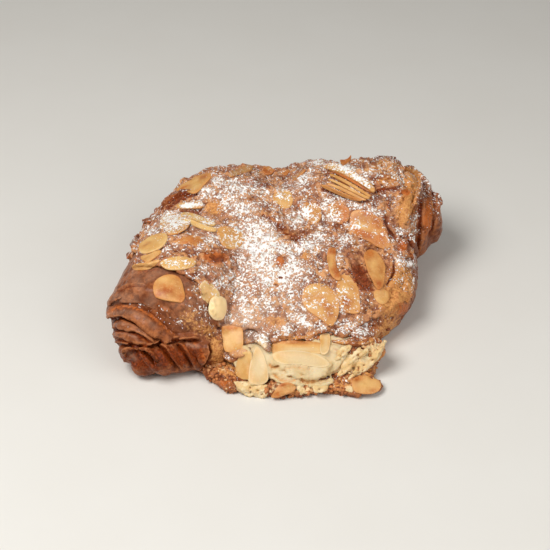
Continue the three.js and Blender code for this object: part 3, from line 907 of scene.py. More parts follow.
def between(a, b, c, d, t):
    """A place on the smooth curve from b to c that comes from a and goes on to d."""
    bend, twist = 2 * a - 5 * b + 4 * c - d, 3 * b - a - 3 * c + d
    return 0.5 * (2 * b + (c - a) * t + bend * t * t + twist * t**3)


def curve_through(points, steps):
    """Evenly numbered places on a smooth curve through a few points."""
    line = [points[0] * 2 - points[1], *points, points[-1] * 2 - points[-2]]
    places = []
    for step in range(steps + 1):
        stretch = step / steps * (len(points) - 1)
        number = min(int(stretch), len(points) - 2)
        places.append(between(*line[number : number + 4], stretch - number))
    return places


print("places on a curve of 4 steps:", len(curve_through([at(0, 0), at(1, 0), at(2, 1)], 4)))

# %% Sleeve
UP = Vector((0, 0, 1))
SLEEVE_SIDES = 40
SLEEVE_STATIONS = 14


def sleeve(bm, spine, girths, tall, lip, lean=0.0):
    """One wrap of dough along a spine. Its lip is rows of a share of the last girth and millimetres ahead."""
    path = curve_through([at(*point) for point in spine], SLEEVE_STATIONS)
    shares = np.linspace(0, len(girths) - 1, len(path))
    radii = np.interp(shares, range(len(girths)), girths) * MM
    stations = []
    for number, centre in enumerate(path):
        ahead = (path[min(number + 1, len(path) - 1)] - path[max(number - 1, 0)]).normalized()
        stations.append((centre, ahead, radii[number]))
    centre, ahead, radius = stations[-1]
    stations += [(centre + ahead * reach * MM, ahead, radius * share) for share, reach in lip]
    rings = []
    for centre, ahead, radius in stations:
        aside = UP.cross(ahead).normalized()
        upward = ahead.cross(aside) + ahead * lean
        ring = []
        for side in range(SLEEVE_SIDES):
            angle = 2 * math.pi * side / SLEEVE_SIDES
            sideways, high = aside * radius * math.cos(angle), upward * radius * tall * math.sin(angle)
            point = centre + sideways + high
            point.z = max(point.z, 0.0)
            ring.append(point)
        rings.append(ring)
    loft(bm, rings)


print("a sleeve has", SLEEVE_SIDES * SLEEVE_STATIONS, "faces before its lip")

# %% [markdown]
# ## Lips
# Where a sheet of dough ends, its edge lifts in the oven and leaves a dark gap below. A lip is a
# rounded wedge swept along that edge. The edge is drawn as a line on the front view and laid on the
# surface that it meets there.

# %% Lay a lip
LIP_STEPS = 40
LIP_POINT = 0.02  # share of the lip at which its ends stop tapering
# Corners of the wedge: a share of half its height, and a share of how far it stands out.
LIP_SECTION = [
    (1.0, -0.1), (0.55, 0.5), (0.0, 0.85), (-0.6, 1.0), (-0.98, 0.72), (-1.0, 0.15), (-0.7, -0.9),
    (0.0, -1.6), (0.9, -1.3),
]


def lay_lip(bm, beds, line, height, stand, lift=0.0, upward=UP):
    """A lip along a line of pixels, from half its height, how far it stands out, and its lift off the bed."""
    hits = [on_view(beds, *pixel) for pixel in line]
    path = curve_through([place + normal * lift * MM for place, normal in hits], LIP_STEPS)
    normals = curve_through([normal for _, normal in hits], LIP_STEPS)
    rings = []
    for number, place in enumerate(path):
        along = (path[min(number + 1, LIP_STEPS)] - path[max(number - 1, 0)]).normalized()
        out = (normals[number] - along * normals[number].dot(along)).normalized()
        rise = along.cross(out)
        if rise.dot(upward) < 0:
            rise = -rise
        taper = math.sin(math.pi * min(max(number / LIP_STEPS, LIP_POINT), 1 - LIP_POINT)) ** 0.5
        corners = [rise * share * height + out * reach * stand for share, reach in LIP_SECTION]
        rings.append([place + corner * taper * MM for corner in corners])
    loft(bm, rings)


print("a lip has", LIP_STEPS + 1, "rings of", len(LIP_SECTION), "corners")

# %% [markdown]
# ## The left horn
# This horn is bare, so all its layers show: a broad outer sleeve, lips one under the other, and below
# them a small roll of three lobes that ends in a dark tip under a hood. It is a piece of its own, with
# finer points than the rest.

# %% Sleeves of the left horn
FLAT_LIP = [(0.97, 1.2), (0.86, 2.4), (0.62, 3.6), (0.3, 4.4)]
LOBE_LIP = [(0.97, 0.7), (0.88, 1.4), (0.76, 1.5), (0.6, 0.6), (0.3, 0.2)]
# Each row: the spine, the girths along it, how tall it is for its width, and the lip.
OUTER_SLEEVE = ([(-31, -17, 17.6), (-39, -31, 18.5), (-46.5, -51, 16.5)], [22.6, 23.4, 22.3], 0.84, FLAT_LIP)
INNER_SLEEVE = ([(-38, -28, 15), (-48, -46, 14), (-54.5, -57, 11.5)], [17, 15, 11.6], 0.95,
                [(0.9, 1.8), (0.7, 3.0), (0.35, 3.8)])
ROLL_LOBES = [
    ([(-22, -49, 9), (-28, -52, 8.8), (-33.5, -54.6, 8.6)], [10.4, 11.7, 11.0], 1.0, LOBE_LIP),
    ([(-28, -52, 8.7), (-36, -55.4, 8.5), (-43.5, -58.6, 8.2)], [8.8, 10.3, 9.4], 1.0, LOBE_LIP),
    ([(-36, -55.5, 8.4), (-44, -58.9, 8.0), (-50, -61.4, 7.6)], [7.6, 9.2, 8.4], 1.0, LOBE_LIP),
]
LOBE_LEAN = 0.55
HOOD = ([(-48, -50, 12.5), (-53.2, -58, 9.6), (-53.6, -62, 7.2)], [12.5, 9.4, 6.6], 1.0,
        [(0.88, 0.9), (0.65, 1.5), (0.3, 1.8)])
TIP = ([(-46, -59.6, 7.4), (-51, -62.2, 6.4), (-54.2, -64.0, 5.0)], [6.0, 5.6, 4.2], 1.0,
       [(0.86, 1.2), (0.6, 2.2), (0.3, 2.8)])
bm = bmesh.new()
sleeve(bm, *OUTER_SLEEVE)
sleeve(bm, *INNER_SLEEVE)
wraps = [BVHTree.FromBMesh(bm)]
for lobe in ROLL_LOBES:
    sleeve(bm, *lobe, LOBE_LEAN)
sleeve(bm, *HOOD)
sleeve(bm, *TIP)
print("faces of the sleeves:", len(bm.faces))

# %% Lips of the left horn
HORN_VOXEL = 0.375
# Each row: the line on the front view, half the height, how far the lip stands out, and its lift.
HORN_LIPS = [
    ([(104.5, 317), (113, 311.5), (126, 310), (137, 312.5), (148, 320), (160, 330), (170, 335.5),
        (179, 339)], 2.9, 2.2, 0.6),
    ([(111, 326), (120, 323.5), (130, 325), (140, 330.5), (148, 336.5), (156, 342)], 1.7, 1.4, 0.0),
    ([(111.5, 333.8), (119, 332.3), (129, 333.3), (139, 337), (147, 341), (155, 344.5)], 1.7, 1.6, 0.2),
    ([(114, 340.8), (122, 340.8), (131, 341.8), (140, 344), (149, 346.5)], 1.1, 1.1, 0.0),
    ([(107.5, 304.5), (112, 301.5), (117, 298.8), (122, 297)], 0.6, 0.6, 0.9),
    ([(172, 336.5), (182, 336), (192, 335.5), (203, 335)], 1.2, 1.3, 0.3),
]
TIP_RIM = (
    [(124, 362), (124.5, 356), (128, 351), (136, 348.5), (144, 350), (151, 355), (156, 362)],
    1.2, 1.4, 0.3,
)
lay_lip(bm, [BVHTree.FromBMesh(bm)], *TIP_RIM)
for row in HORN_LIPS:
    lay_lip(bm, wraps, *row)
left_horn = piece_of(bm, "left_horn")
one_skin(left_horn, HORN_VOXEL, soften=2)
print("left horn points:", len(left_horn.data.vertices))

# %% [markdown]
# ## The body
# The rest of the pastry starts from a copy of its solid. The copy's own left horn is drawn in a little,
# so that it stays hidden inside the finer one, and the whole is given one even skin.

# %% Skin the body
HORN_START, HORN_WAY = (-33, -30), (-0.35, -0.93)  # on the drawing's plan
HORN_FADE, HORN_SIDE = (0, 10), (22, 30)  # millimetres past the start, and to the left, where it sets in
HORN_PIVOT = np.array(at(-45, -48, 11))
HORN_SHRINK = 0.14
BODY_VOXEL = 0.75


def plan_of(points):
    """Places of the frame in the drawing's millimetres."""
    return (points - np.array(HOME)) / MM


body = piece_of(copy_of("pastry"), "pastry_body")
points = points_of(body.data)
plan = plan_of(points)
past = HORN_WAY[0] * (plan[:, 0] - HORN_START[0]) + HORN_WAY[1] * (plan[:, 1] - HORN_START[1])
inside = soft_step(past, *HORN_FADE) * soft_step(-plan[:, 0], *HORN_SIDE)
move_points(body.data, points + (HORN_PIVOT - points) * (HORN_SHRINK * inside)[:, None])
one_skin(body, BODY_VOXEL, soften=3)
print("body points:", len(body.data.vertices))

# %% [markdown]
# ## Bake the dough
# Baked dough is not smooth: it wrinkles, its layers part, and it crumbles where it was torn. Steps
# along lines part the layers, strokes along lines colour them, and noise of a few sizes lifts the
# points along their normals. The relief that results is kept for the material.

# %% Steps of the left horn
# Each row: how proud, how deep, the reach in pixels, and the line.
HORN_STEPS = [
    (0.5, 0.6, 5, [(118, 303), (124, 302.5), (134, 302.4), (143.5, 304), (150.4, 307.6), (157.3, 313.3),
        (165.3, 320.2), (171, 326), (176.8, 334), (180, 338.6)]),
    (1.3, 1.5, 6, [(104.4, 319), (113.6, 316), (121.7, 315.6), (129.7, 317.3), (137.7, 321.3),
        (144.6, 326.5), (150.4, 331.7), (155, 337.4), (159, 341)]),
    (0.9, 0.9, 4, [(110, 329.4), (118, 328.8), (127.4, 329.4), (135.4, 331.7), (143.5, 336.3),
        (150.4, 340.9), (154, 343)]),
    (0.5, 0.5, 3, [(111.6, 336.8), (120.5, 339.2), (129.7, 340), (139, 342.3), (147, 343.6)]),
    (1.3, 1.6, 6, [(113, 341.5), (119, 343), (125, 344.6), (134.3, 346.6), (141, 346), (150.4, 344.5),
        (157.3, 342.6), (162, 340.5), (168.7, 340.6), (176.8, 339.3), (184.8, 339.8), (194, 339),
        (204, 340.3)]),
    (1.8, 2.4, 4, [(125, 357), (126.5, 352.5), (131, 350), (137.7, 349.5), (144.6, 351.2), (150.4, 356),
        (155, 361.5), (157, 367)]),
    (1.0, 1.7, 5, [(197, 371), (205, 362), (210, 352), (208, 343)]),
    (1.3, 1.8, 6, [(157.3, 343.5), (165.3, 349), (171, 358), (177, 365), (183, 370)]),
    (1.0, 1.4, 5, [(176.8, 342), (184.8, 351.5), (190.6, 361), (195, 370)]),
    (0.25, 0.35, 4, [(167, 342.5), (174, 350), (181, 360), (187, 369)]),
    (0.2, 0.3, 4, [(186, 341), (193, 350), (198, 358), (201, 366)]),
    (0.4, 0.5, 3, [(116, 293), (124, 287), (136, 284), (147, 286)]),
]
print("steps of the left horn:", len(HORN_STEPS))

# %% Strokes of the left horn
# Each row: the width in pixels, the weight and the line.
HORN_STROKES = {
    # Orange strokes: the colour of lip edges, and painted highlights along the crests of the roll and the
    # tip's rim.
    "orange": [
        (3.2, 0.5, [(104, 316.5), (116, 308.8), (127.4, 306.5), (141, 310), (152.7, 317), (162, 326),
            (171, 333), (177, 337)]),
        (2.2, 0.5, [(112.5, 333.5), (124, 331.5), (135, 334), (144.6, 339), (151, 342)]),
        (2.0, 0.45, [(114, 321), (121, 320), (130, 321.5)]),
        (1.5, 0.3, [(122, 300.5), (134, 300.5), (147, 303.5), (160, 313)]),
        (3.0, 0.75, [(162, 351), (168, 359), (173, 367)]),
        (2.2, 0.6, [(172, 347), (178, 355), (184, 365)]),
        (2.5, 0.65, [(182, 344), (189, 354), (194, 364)]),
        (2.5, 0.75, [(193, 342), (200, 350), (204, 360)]),
        (2.0, 0.6, [(130, 350.5), (138, 349.5), (146, 352.5), (152, 359)]),
    ],
    # Dark strokes: mostly painted shade in the gaps under the lips and the tip's hood; the wide last one
    # darkens the roll.
    "dark": [
        (3.5, 0.8, [(129, 352.5), (137, 352), (145, 356)]),
        (2.4, 0.85, [(105, 321), (114, 318.5), (122, 318), (130, 320), (138, 324), (145, 329.5),
            (151, 335)]),
        (2.0, 0.85, [(111, 331.5), (119, 331), (128, 332), (136, 334.5), (143, 339.5)]),
        (1.8, 0.8, [(112, 338.5), (121, 341), (130, 342), (139, 344.5), (150, 344)]),
        (5.0, 0.5, [(116, 346), (122, 354), (128, 364)]),
        (2.6, 0.7, [(116, 318.5), (124, 318), (131, 319.5)]),
        (14.0, 0.72, [(126, 360), (150, 360), (175, 357), (205, 350)]),
    ],
}
# Painted highlights along lips that catch the light, laid in the colour of the sugar veil.
HORN_LIGHTS = [
    (2.2, 0.3, [(105, 316), (114, 312.5), (126, 311.5), (137, 314), (147, 320.5), (157, 329)]),
    (1.5, 0.25, [(112, 325.5), (120, 323.5), (130, 325), (140, 330.5), (148, 336.5)]),
    (1.5, 0.25, [(113, 334), (120, 333), (129, 334), (139, 338)]),
    (2.0, 0.4, [(128, 354), (133, 356), (136, 361)]),
    (2.0, 0.5, [(186, 343), (193, 346), (200, 346)]),
]
print("strokes of the left horn:", sum(len(lines) for lines in HORN_STROKES.values()) + len(HORN_LIGHTS))

# %% Work the left horn over
HORN_AXIS = np.array(at(-52, -60, 4))
HORN_AHEAD = np.array(Vector((-0.35, -0.93, -0.05)).normalized())
LAYERS_RIGHT, LAYERS_TOP, LAYERS_FOOT = 153, 300, 348  # where cut layers show, in pixels of the front view
COAT_SIDE, COAT_FOOT = (178, 208), (338, 344)  # columns where the coat sets in, and rows where it ends
# The first of these rows ends the painted sheen on the horn's top.
SHEEN_FOOT, SUGAR_FOOT = (300, 318), (334, 342)  # rows where the haze and the sugar end

points, normals = points_of(left_horn.data), normals_of(left_horn.data)
across, down = seen(points)
heights, gaps = stepped(points, normals, HORN_STEPS)
strokes = {kind: stroked(points, normals, rows) for kind, rows in HORN_STROKES.items()}
# The dark strokes also take the painted shade in the gaps below the horn's steps.
strokes["dark"] = np.maximum(strokes["dark"], gaps)
# Painted sheen with a hint of sugar on the horn's top, in patches of noise, with the lips' painted highlights
# over it.
haze_and_sheen = 0.3 * (1 - soft_step(down, *SHEEN_FOOT)) * soft_step(lumpy(points, 5, 2, 9), -0.6, 0.4)
strokes["haze_and_sheen"] = np.maximum(haze_and_sheen, stroked(points, normals, HORN_LIGHTS))
layered = soft_step(LAYERS_RIGHT - across, 0, 12) * soft_step(down, LAYERS_TOP, LAYERS_TOP + 8)
layered = layered * soft_step(LAYERS_FOOT - down, 0, 4)
coated = soft_step(across, *COAT_SIDE) * (1 - soft_step(down, *COAT_FOOT))
wrinkles = 0.4 * lumpy(points * np.array((1, 0.35, 1)), 2.6, 2, 5)
rough = 0.2 * lumpy(points, 8, 2, 1) + wrinkles * (1 - coated)
rough = rough + (0.1 + 0.5 * coated) * lumpy(points, 1.6, 3, 2)
swell(left_horn, 1.3 * heights + rough)
paint_relief(left_horn)
paint_marks(left_horn, (0.2 + 1.1 * coated) * (1 - soft_step(down, *SUGAR_FOOT)), strokes)
print("left horn heights, mm:", round(float(heights.min()), 1), "to", round(float(heights.max()), 1))

# %% Draw its cut layers
spokes = points - HORN_AXIS
spokes -= np.outer(spokes @ HORN_AHEAD, HORN_AHEAD)
paint(left_horn, "layers", np.linalg.norm(spokes, axis=1) / MM)
paint(left_horn, "edge_on", 0.6 * layered * soft_step(normals @ HORN_AHEAD, 0.1, 0.5))
print("points on cut layers:", int((layered > 0.5).sum()))

# %% Steps of the coat
# Rows as for the left horn. Lines that go up have their proud side at the left, and lines that go down
# have it at the right.
COAT_STEPS = [
    (1.2, 1.4, 6, [(376, 291), (368, 290), (360, 286), (354, 278), (345, 270), (338, 267)]),
    (0.8, 1.0, 5, [(409, 226), (411, 214), (414, 204), (418, 194)]),
    (0.8, 1.0, 5, [(422, 196), (421, 212), (421, 230), (419, 246), (418, 256)]),
    (0.6, 0.8, 4, [(434, 188), (436, 204), (434, 220), (430, 238)]),
    (0.8, 0.9, 5, [(374, 190), (384, 188), (394, 188), (402, 186)]),
    (0.7, 1.0, 4, [(395, 242), (390, 234), (386, 226), (383, 217)]),
    (0.6, 0.9, 4, [(413, 262), (408, 252), (401, 240), (397, 232)]),
    (0.6, 1.0, 4, [(387, 284), (393, 272), (393, 260), (388, 252)]),
    (0.7, 1.0, 5, [(322, 186), (334, 191.5), (345, 196), (358, 200), (372, 200)]),
    (0.6, 1.0, 4, [(253, 184), (262, 186), (272, 187)]),
    (0.7, 1.2, 4, [(177, 211), (186, 210), (194, 209.5), (202, 209)]),
    (0.6, 0.7, 5, [(258, 212), (270, 219), (280, 226), (296, 238), (304, 240)]),
    (0.6, 0.8, 4, [(162, 214), (168, 206), (178, 199), (190, 195), (202, 192)]),
    (0.3, 0.4, 5, [(206, 256), (216, 259), (226, 260), (233, 258)]),
    (0.6, 0.7, 4, [(392, 158), (398, 166), (402, 176), (406, 186)]),
]
print("steps of the coat and the right horn:", len(COAT_STEPS))


# %% Blister the body
def pits(points, size, seed):
    """1 in the middle of scattered hollows of a size in millimetres, 0 between them."""
    shift = Vector((3.1, 8.3, 1.7)) * seed
    nearest = [noise.voronoi(Vector(p) / (size * MM) + shift)[0][0] for p in points]
    return 1 - soft_step(nearest, 0.1, 0.42)


points = points_of(body.data)
crumbly = marked("crumbly", points, normals_of(body.data))
rough = 0.6 * lumpy(points, 7, 2, 1) + (0.3 + 0.5 * crumbly) * lumpy(points, 2.0, 3, 2)
heights, body_gaps = stepped(points, normals_of(body.data), COAT_STEPS)
swell(body, heights + rough - (0.3 + 1.3 * crumbly) * pits(points, 3.2, 3))
paint_relief(body)
# The body's dark marks also take the painted shade in the gaps below its steps.
paint_marks(body, strokes={"dark": body_gaps})
paint(body, "crumbly", crumbly)
print("crumbly points of the body:", int((crumbly > 0.5).sum()))

# %% [markdown]
# ## The coat
# Almond cream spread on top bakes to a craggy brown crust. It starts from a copy of its solid. The
# flakes that are part of the solid come off first, because they will be laid anew: any point farther
# from the dough than the coat is thick goes back to that distance. Then the coat gets a fresh skin of
# small faces and is roughened: broad lumps, small crags, and pits where bubbles burst.

# %% Skin the coat
COAT_DEPTH = 2.6
COAT_VOXELS = (0.62, 0.575)  # with the solid's flakes, and without them
topping = piece_of(copy_of("topping"), "topping_coat")
one_skin(topping, COAT_VOXELS[0], soften=2)
bm = copy_of("pastry")
dough_bed = BVHTree.FromBMesh(bm)
bm.free()
points = points_of(topping.data)
for number, point in enumerate(points):
    near, _, _, distance = dough_bed.find_nearest(Vector(point))
    if distance > COAT_DEPTH * MM:
        points[number] = near + (Vector(point) - near) * (COAT_DEPTH * MM / distance)
move_points(topping.data, points)
one_skin(topping, COAT_VOXELS[1], soften=3)
print("coat points:", len(topping.data.vertices))

# %% Roughen the coat
DEEPEST_PIT = 1.3
points, normals = points_of(topping.data), normals_of(topping.data)
crags = 0.9 * lumpy(points, 6, 3, 3) + 0.95 * lumpy(points, 2.4, 3, 4)
holes = pits(points, 4.6, 1) * soft_step(lumpy(points, 9, 1, 6), -0.1, 0.3)
spots = 0.6 * marked("orange", points, normals) - 0.4 * marked("dark", points, normals)
heights, coat_gaps = stepped(points, normals, COAT_STEPS)
swell(topping, np.maximum(crags - 0.9 * holes + spots + heights, -DEEPEST_PIT))
print("crags of the coat, mm:", round(float(crags.min()), 1), "to", round(float(crags.max()), 1))

# %% [markdown]
# ## The filling
# The cream that shows in the split is soft and pale, smeared by the knife and torn at its edge. Its
# solid's copy is smoothed more than the coat and only lightly broken up.

# %% Fold the cream
CREAM_VOXEL = 0.5
# Rows as for the horn's lips.
CREAM_FOLDS = [
    ([(273, 377), (283, 381), (295, 383), (306, 384)], 2.2, 1.8, 0.2),
    ([(304, 382), (314, 385), (325, 384), (334, 378)], 2.2, 1.8, 0.2),
    ([(331, 350), (337, 349), (341, 354), (340, 362)], 2.2, 1.6, 0.2),
    ([(284, 371), (290, 367.5), (298, 366.5), (307, 369)], 0.9, 0.7, 0.3),
    ([(281, 378), (290, 373), (300, 371.5), (311, 374)], 0.9, 0.7, 0.3),
    ([(322, 371), (328, 367), (333, 361)], 0.9, 0.7, 0.2),
]
bm = copy_of("almond_cream")
beds = [BVHTree.FromBMesh(bm), dough_bed]
for row in CREAM_FOLDS:
    lay_lip(bm, beds, *row)
filling = piece_of(bm, "almond_cream_filling")
one_skin(filling, CREAM_VOXEL, soften=8)
print("cream points:", len(filling.data.vertices))

# %% Smear the cream
TORN_FROM, TORN_TO = 66, 72  # millimetres in front of the drawing's zero between which the cream is torn
CREAM_RELIEF = (14, 0.5)
# Rows as for the horn's steps.
CREAM_STEPS = [
    (0.5, 0.5, 4, [(280, 371), (286, 367.5), (294, 365.8), (302, 366.5), (309, 370)]),
    (0.5, 0.9, 3, [(269, 363), (273, 366.5), (280, 365.5)]),
    (0.5, 0.7, 4, [(272, 372), (280, 378), (290, 380.5), (298, 379)]),
    (0.4, 0.6, 4, [(300, 378), (308, 381), (318, 380), (328, 377)]),
    (0.4, 0.6, 4, [(330, 374), (338, 370), (343, 362)]),
    (0.4, 0.5, 3, [(332, 346), (338, 350), (341, 357)]),
]
points = points_of(filling.data)
edge = soft_step(-plan_of(points)[:, 1], TORN_FROM, TORN_TO)
smears = 0.5 * lumpy(points * np.array((0.45, 1, 1)), 5, 2, 7)
smears = smears + (0.2 + 0.6 * edge) * lumpy(points, 2.4, 3, 8)
heights, seams = stepped(points, normals_of(filling.data), CREAM_STEPS)
swell(filling, heights + smears - 0.7 * edge * pits(points, 3, 2))
paint(filling, "relief", relief_of(filling, *CREAM_RELIEF))
# Painted shade in the gaps below the cream's steps.
paint(filling, "seam_shade", 0.8 * seams)
print("torn points of the cream:", int((edge > 0.5).sum()))

# %% [markdown]
# ## Ridges of dough
# At the back left and on the right horn, edges of the rolled sheet come through the coat. A lump
# between the flakes and the coat's own edge over the filling stand out in the same way. They are lips
# too, laid on the coat, the body and the filling.

# %% Lay the ridges
ACROSS = Vector((1, 0, 0))
RIDGE_VOXEL = 0.4
# Rows as for the horn's lips; ACROSS stands where the lip's upper side is turned to the right.
RIDGES = [
    ([(160, 214), (166, 205), (176, 198), (189, 193.5)], 1.5, 1.2, 0.3),
    ([(162, 208), (168, 200.5), (178, 195), (186, 192)], 1.2, 1.1, 0.6),
    ([(172, 197), (182, 192.5), (192, 191)], 1.0, 1.0, 0.6),
    ([(143, 224), (147, 221), (152, 222)], 1.6, 1.6, 0.3),
    ([(131, 246), (135, 240), (139, 234)], 1.6, 1.5, 0.3),
    ([(125, 260), (128, 256), (131, 252)], 1.5, 1.4, 0.3),
    ([(411, 190), (409, 198), (406, 208), (404, 217), (400, 226)], 2.4, 1.5, 0.2, ACROSS),
    ([(372, 168), (381, 161), (392, 161), (400, 168)], 3.0, 2.0, 0.0),
    ([(374, 178), (384, 176), (396, 178), (404, 186)], 1.8, 1.3, 0.0),
    ([(420, 172), (420, 185), (417, 200), (413, 214)], 2.0, 1.4, 0.0, ACROSS),
    ([(428, 196), (429, 210), (427, 224), (423, 238)], 3.2, 1.2, 0.0, ACROSS),
    ([(438, 186), (440, 198), (438, 211), (434, 222)], 1.3, 1.2, 0.2, ACROSS),
    ([(404, 167), (416, 169), (428, 177), (437, 189)], 2.2, 1.8, 0.2),
    ([(399, 238), (405, 246), (411, 256), (415, 266)], 1.8, 1.3, 0.1, ACROSS),
    ([(408, 232), (413, 244), (418, 256)], 1.5, 1.2, 0.0, ACROSS),
    ([(222, 353), (229, 356), (237, 360)], 2.0, 1.0, 0.2),
    ([(253, 336), (259, 339), (265, 345), (270, 354)], 2.3, 1.6, 1.7),
    ([(256, 334), (263, 335), (269, 339)], 2.0, 1.3, 0.6),
    ([(229, 352), (236, 354), (244, 352), (251, 348)], 1.6, 1.3, 0.3),
    ([(331, 341), (344, 343), (358, 344), (374, 340)], 1.4, 1.6, 0.3),
    ([(306, 339), (313, 338), (320, 340)], 1.3, 1.5, 0.3),
    ([(348, 328), (358, 329.5), (370, 330.5), (384, 328)], 2.6, 1.2, 0.1),
    ([(350, 335), (360, 335.5), (371, 335), (381, 332)], 1.9, 1.3, 0.2),
]


def beds_of(*pieces):
    """The pieces as surfaces that rays can meet."""
    graph = bpy.context.evaluated_depsgraph_get()
    return [BVHTree.FromObject(piece, graph) for piece in pieces]


beds = beds_of(topping, body, filling)
bm = bmesh.new()
for row in RIDGES:
    lay_lip(bm, beds, *row)
ridges = piece_of(bm, "dough_ridges")
one_skin(ridges, RIDGE_VOXEL, soften=2)
points = points_of(ridges.data)
swell(ridges, 0.35 * lumpy(points, 4, 2, 11) + 0.2 * lumpy(points, 1.4, 2, 12))
paint_relief(ridges)
paint_marks(ridges)
print("ridges:", len(RIDGES))

# %% [markdown]
# ## Torn crumb
# Where the croissant was pulled open its inside shows: pale sponge, torn into strands, with the walls
# of burst bubbles between them. The strands are lips once more, and deep pits make the sponge.


# %% Torn crumb's finish
def sponge_finish():
    finish = Finish("torn crumb")
    relief = finish.carried("relief")
    fine = finish.lumps(0.7, 4.0, 0.6)
    base = finish.lumps(3.0, 3.0).ramp(0.4, 0.62).mix(colour(234, 210, 164), colour(220, 184, 126))
    # Painted shade: darker in the pits of the sponge.
    base = ((0.0 - relief).ramp(0.15, 0.9) * 0.9).mix(base, colour(158, 94, 46))
    base = (fine.ramp(0.56, 0.72) * 0.4).mix(base, colour(214, 160, 96))
    finish.wire("Base Color", base)
    finish.wire("Roughness", 0.6 + 0.2 * fine)
    finish.wire("Subsurface Weight", 0.2)
    finish.wire("Subsurface Radius", (1.0, 0.6, 0.3))
    finish.wire("Subsurface Scale", 1.0 * MM)
    finish.bump(fine, 0.2)
    return finish.material


sponge = sponge_finish()
print("finish:", sponge.name)

# %% Tear the crumb
STRAND_VOXEL = 0.36
# Rows as for the horn's lips.
STRANDS = [
    ([(346, 374), (356, 363), (367, 350), (378, 338)], 0.9, 1.4, 1.7),
    ([(352, 377), (364, 365), (376, 352), (385, 342)], 0.8, 1.2, 1.8),
    ([(349, 379), (362, 368), (374, 356), (383, 344)], 1.7, 1.8, 0.5),
    ([(341, 368), (350, 358), (361, 347)], 1.9, 1.5, 0.2),
    ([(336, 360), (343, 351), (352, 345)], 1.9, 1.5, 0.2),
    ([(338, 376), (346, 368), (352, 362)], 1.6, 1.4, 0.2),
    ([(354, 370), (366, 358), (378, 347)], 1.6, 1.4, 0.2),
    ([(234, 382), (244, 386), (256, 388), (269, 387)], 2.2, 1.6, 0.3),
    ([(238, 387), (248, 392), (259, 394.5), (268, 393)], 1.8, 1.4, 0.3),
    ([(297, 386), (302, 391), (309, 393)], 1.4, 1.3, 0.4),
    ([(312, 387), (320, 389), (328, 386)], 1.3, 1.2, 0.3),
    ([(347, 388), (351, 389), (353, 387)], 1.2, 1.2, 0.4),
]
beds = beds_of(body, filling, topping)
bm = bmesh.new()
for row in STRANDS:
    lay_lip(bm, beds, *row)
torn = piece_of(bm, "torn_crumb")
one_skin(torn, STRAND_VOXEL, soften=2)
points = points_of(torn.data)
swell(torn, 0.5 * lumpy(points, 2.4, 3, 21) - 1.4 * pits(points, 2.2, 5))
paint_relief(torn)
finish_piece(torn, sponge, "pastry", "pastry")

# %% [markdown]
# ## Flaked almonds
# A flake is a thin slice of almond. Each is drawn as an outline on the front view. A filled circle is
# inset a few times so that it can bend, its rings are spread from the middle of the outline to its rim,
# and rays find how far away the bed below is. A flake is stiffer than its bed, so it lies on a smooth
# surface fitted to those distances.

# %% A smooth bed for a flake
FAR = 25.0  # millimetres behind the nearest hit at which a ray has passed the bed
STRAY = 2.5  # millimetres from the smooth surface at which a hit belongs to something else
STIFFNESS = (9.0, 9.0, 0.25)  # against bending, for each round of the fit
TILT_STIFFNESS = 0.03


def closed_curve(outline, steps):
    """Pixels on a smooth closed curve through an outline."""
    line = np.array(outline, dtype=float)
    places = []
    for step in range(steps):
        stretch = step / steps * len(line)
        number = int(stretch)
        corners = [line[(number + ahead) % len(line)] for ahead in (-1, 0, 1, 2)]
        places.append(between(*corners, stretch - number))
    return np.array(places)


def smooth_depths(beds, pixels, rays):
    """Distances to the beds along rays, as they are and as a smooth surface has them, in metres."""
    depths = np.full(len(rays), np.nan)
    for number, ray in enumerate(rays):
        hits = [bed.ray_cast(camera.location, ray)[3] for bed in beds]
        depths[number] = min([hit for hit in hits if hit is not None], default=np.nan)
    u, v = ((pixels - pixels.mean(0)) / np.ptp(pixels, axis=0).max()).T
    terms = np.stack([np.ones(len(u)), u, v, u * u, u * v, v * v], axis=1)
    sound = depths < np.nanmin(depths) + FAR * MM
    for stiff in STIFFNESS:
        damping = np.diag([0, TILT_STIFFNESS, TILT_STIFFNESS, stiff, stiff, stiff])
        middle = depths[sound].mean()
        goal = np.concatenate([depths[sound] - middle, np.zeros(6)])
        shares = np.linalg.lstsq(np.vstack([terms[sound], damping]), goal, rcond=None)[0]
        fit = middle + terms @ shares
        sound = np.abs(depths - fit) < STRAY * MM
    return np.where(sound, depths, fit), fit


print("a square with round corners:", closed_curve([(0, 0), (9, 0), (9, 9), (0, 9)], 8).tolist())

# %% One almond flake
FLAKE_THICK = 0.6
FLAKE_SIDES = 40
FLAKE_RINGS = 4
BLANK_RADIUS, RING_WIDTH = 0.5, 0.09
FLAKE_SAG = 0.35  # how much of the bed's unevenness a flake follows
FLAKE_CURL = 0.35
CURL_SIZE = 2.4
FLAKE_BEVEL = 0.14
SHARP = 1.0  # radians between faces past which an edge is rounded


def flake_pixels(bm, outline):
    """Where each point of a flat round flake goes in the front view."""
    layer = bm.verts.layers.float["rim"]
    rim = closed_curve(outline, FLAKE_SIDES)
    middle = rim.mean(0)
    pixels = []
    for vert in bm.verts:
        side = math.atan2(vert.co.y, vert.co.x) / (2 * math.pi) % 1 * FLAKE_SIDES
        vert[layer] = min(1.0, vert.co.length / BLANK_RADIUS)
        pixels.append(middle + (rim[round(side) % FLAKE_SIDES] - middle) * vert[layer])
    return np.array(pixels)


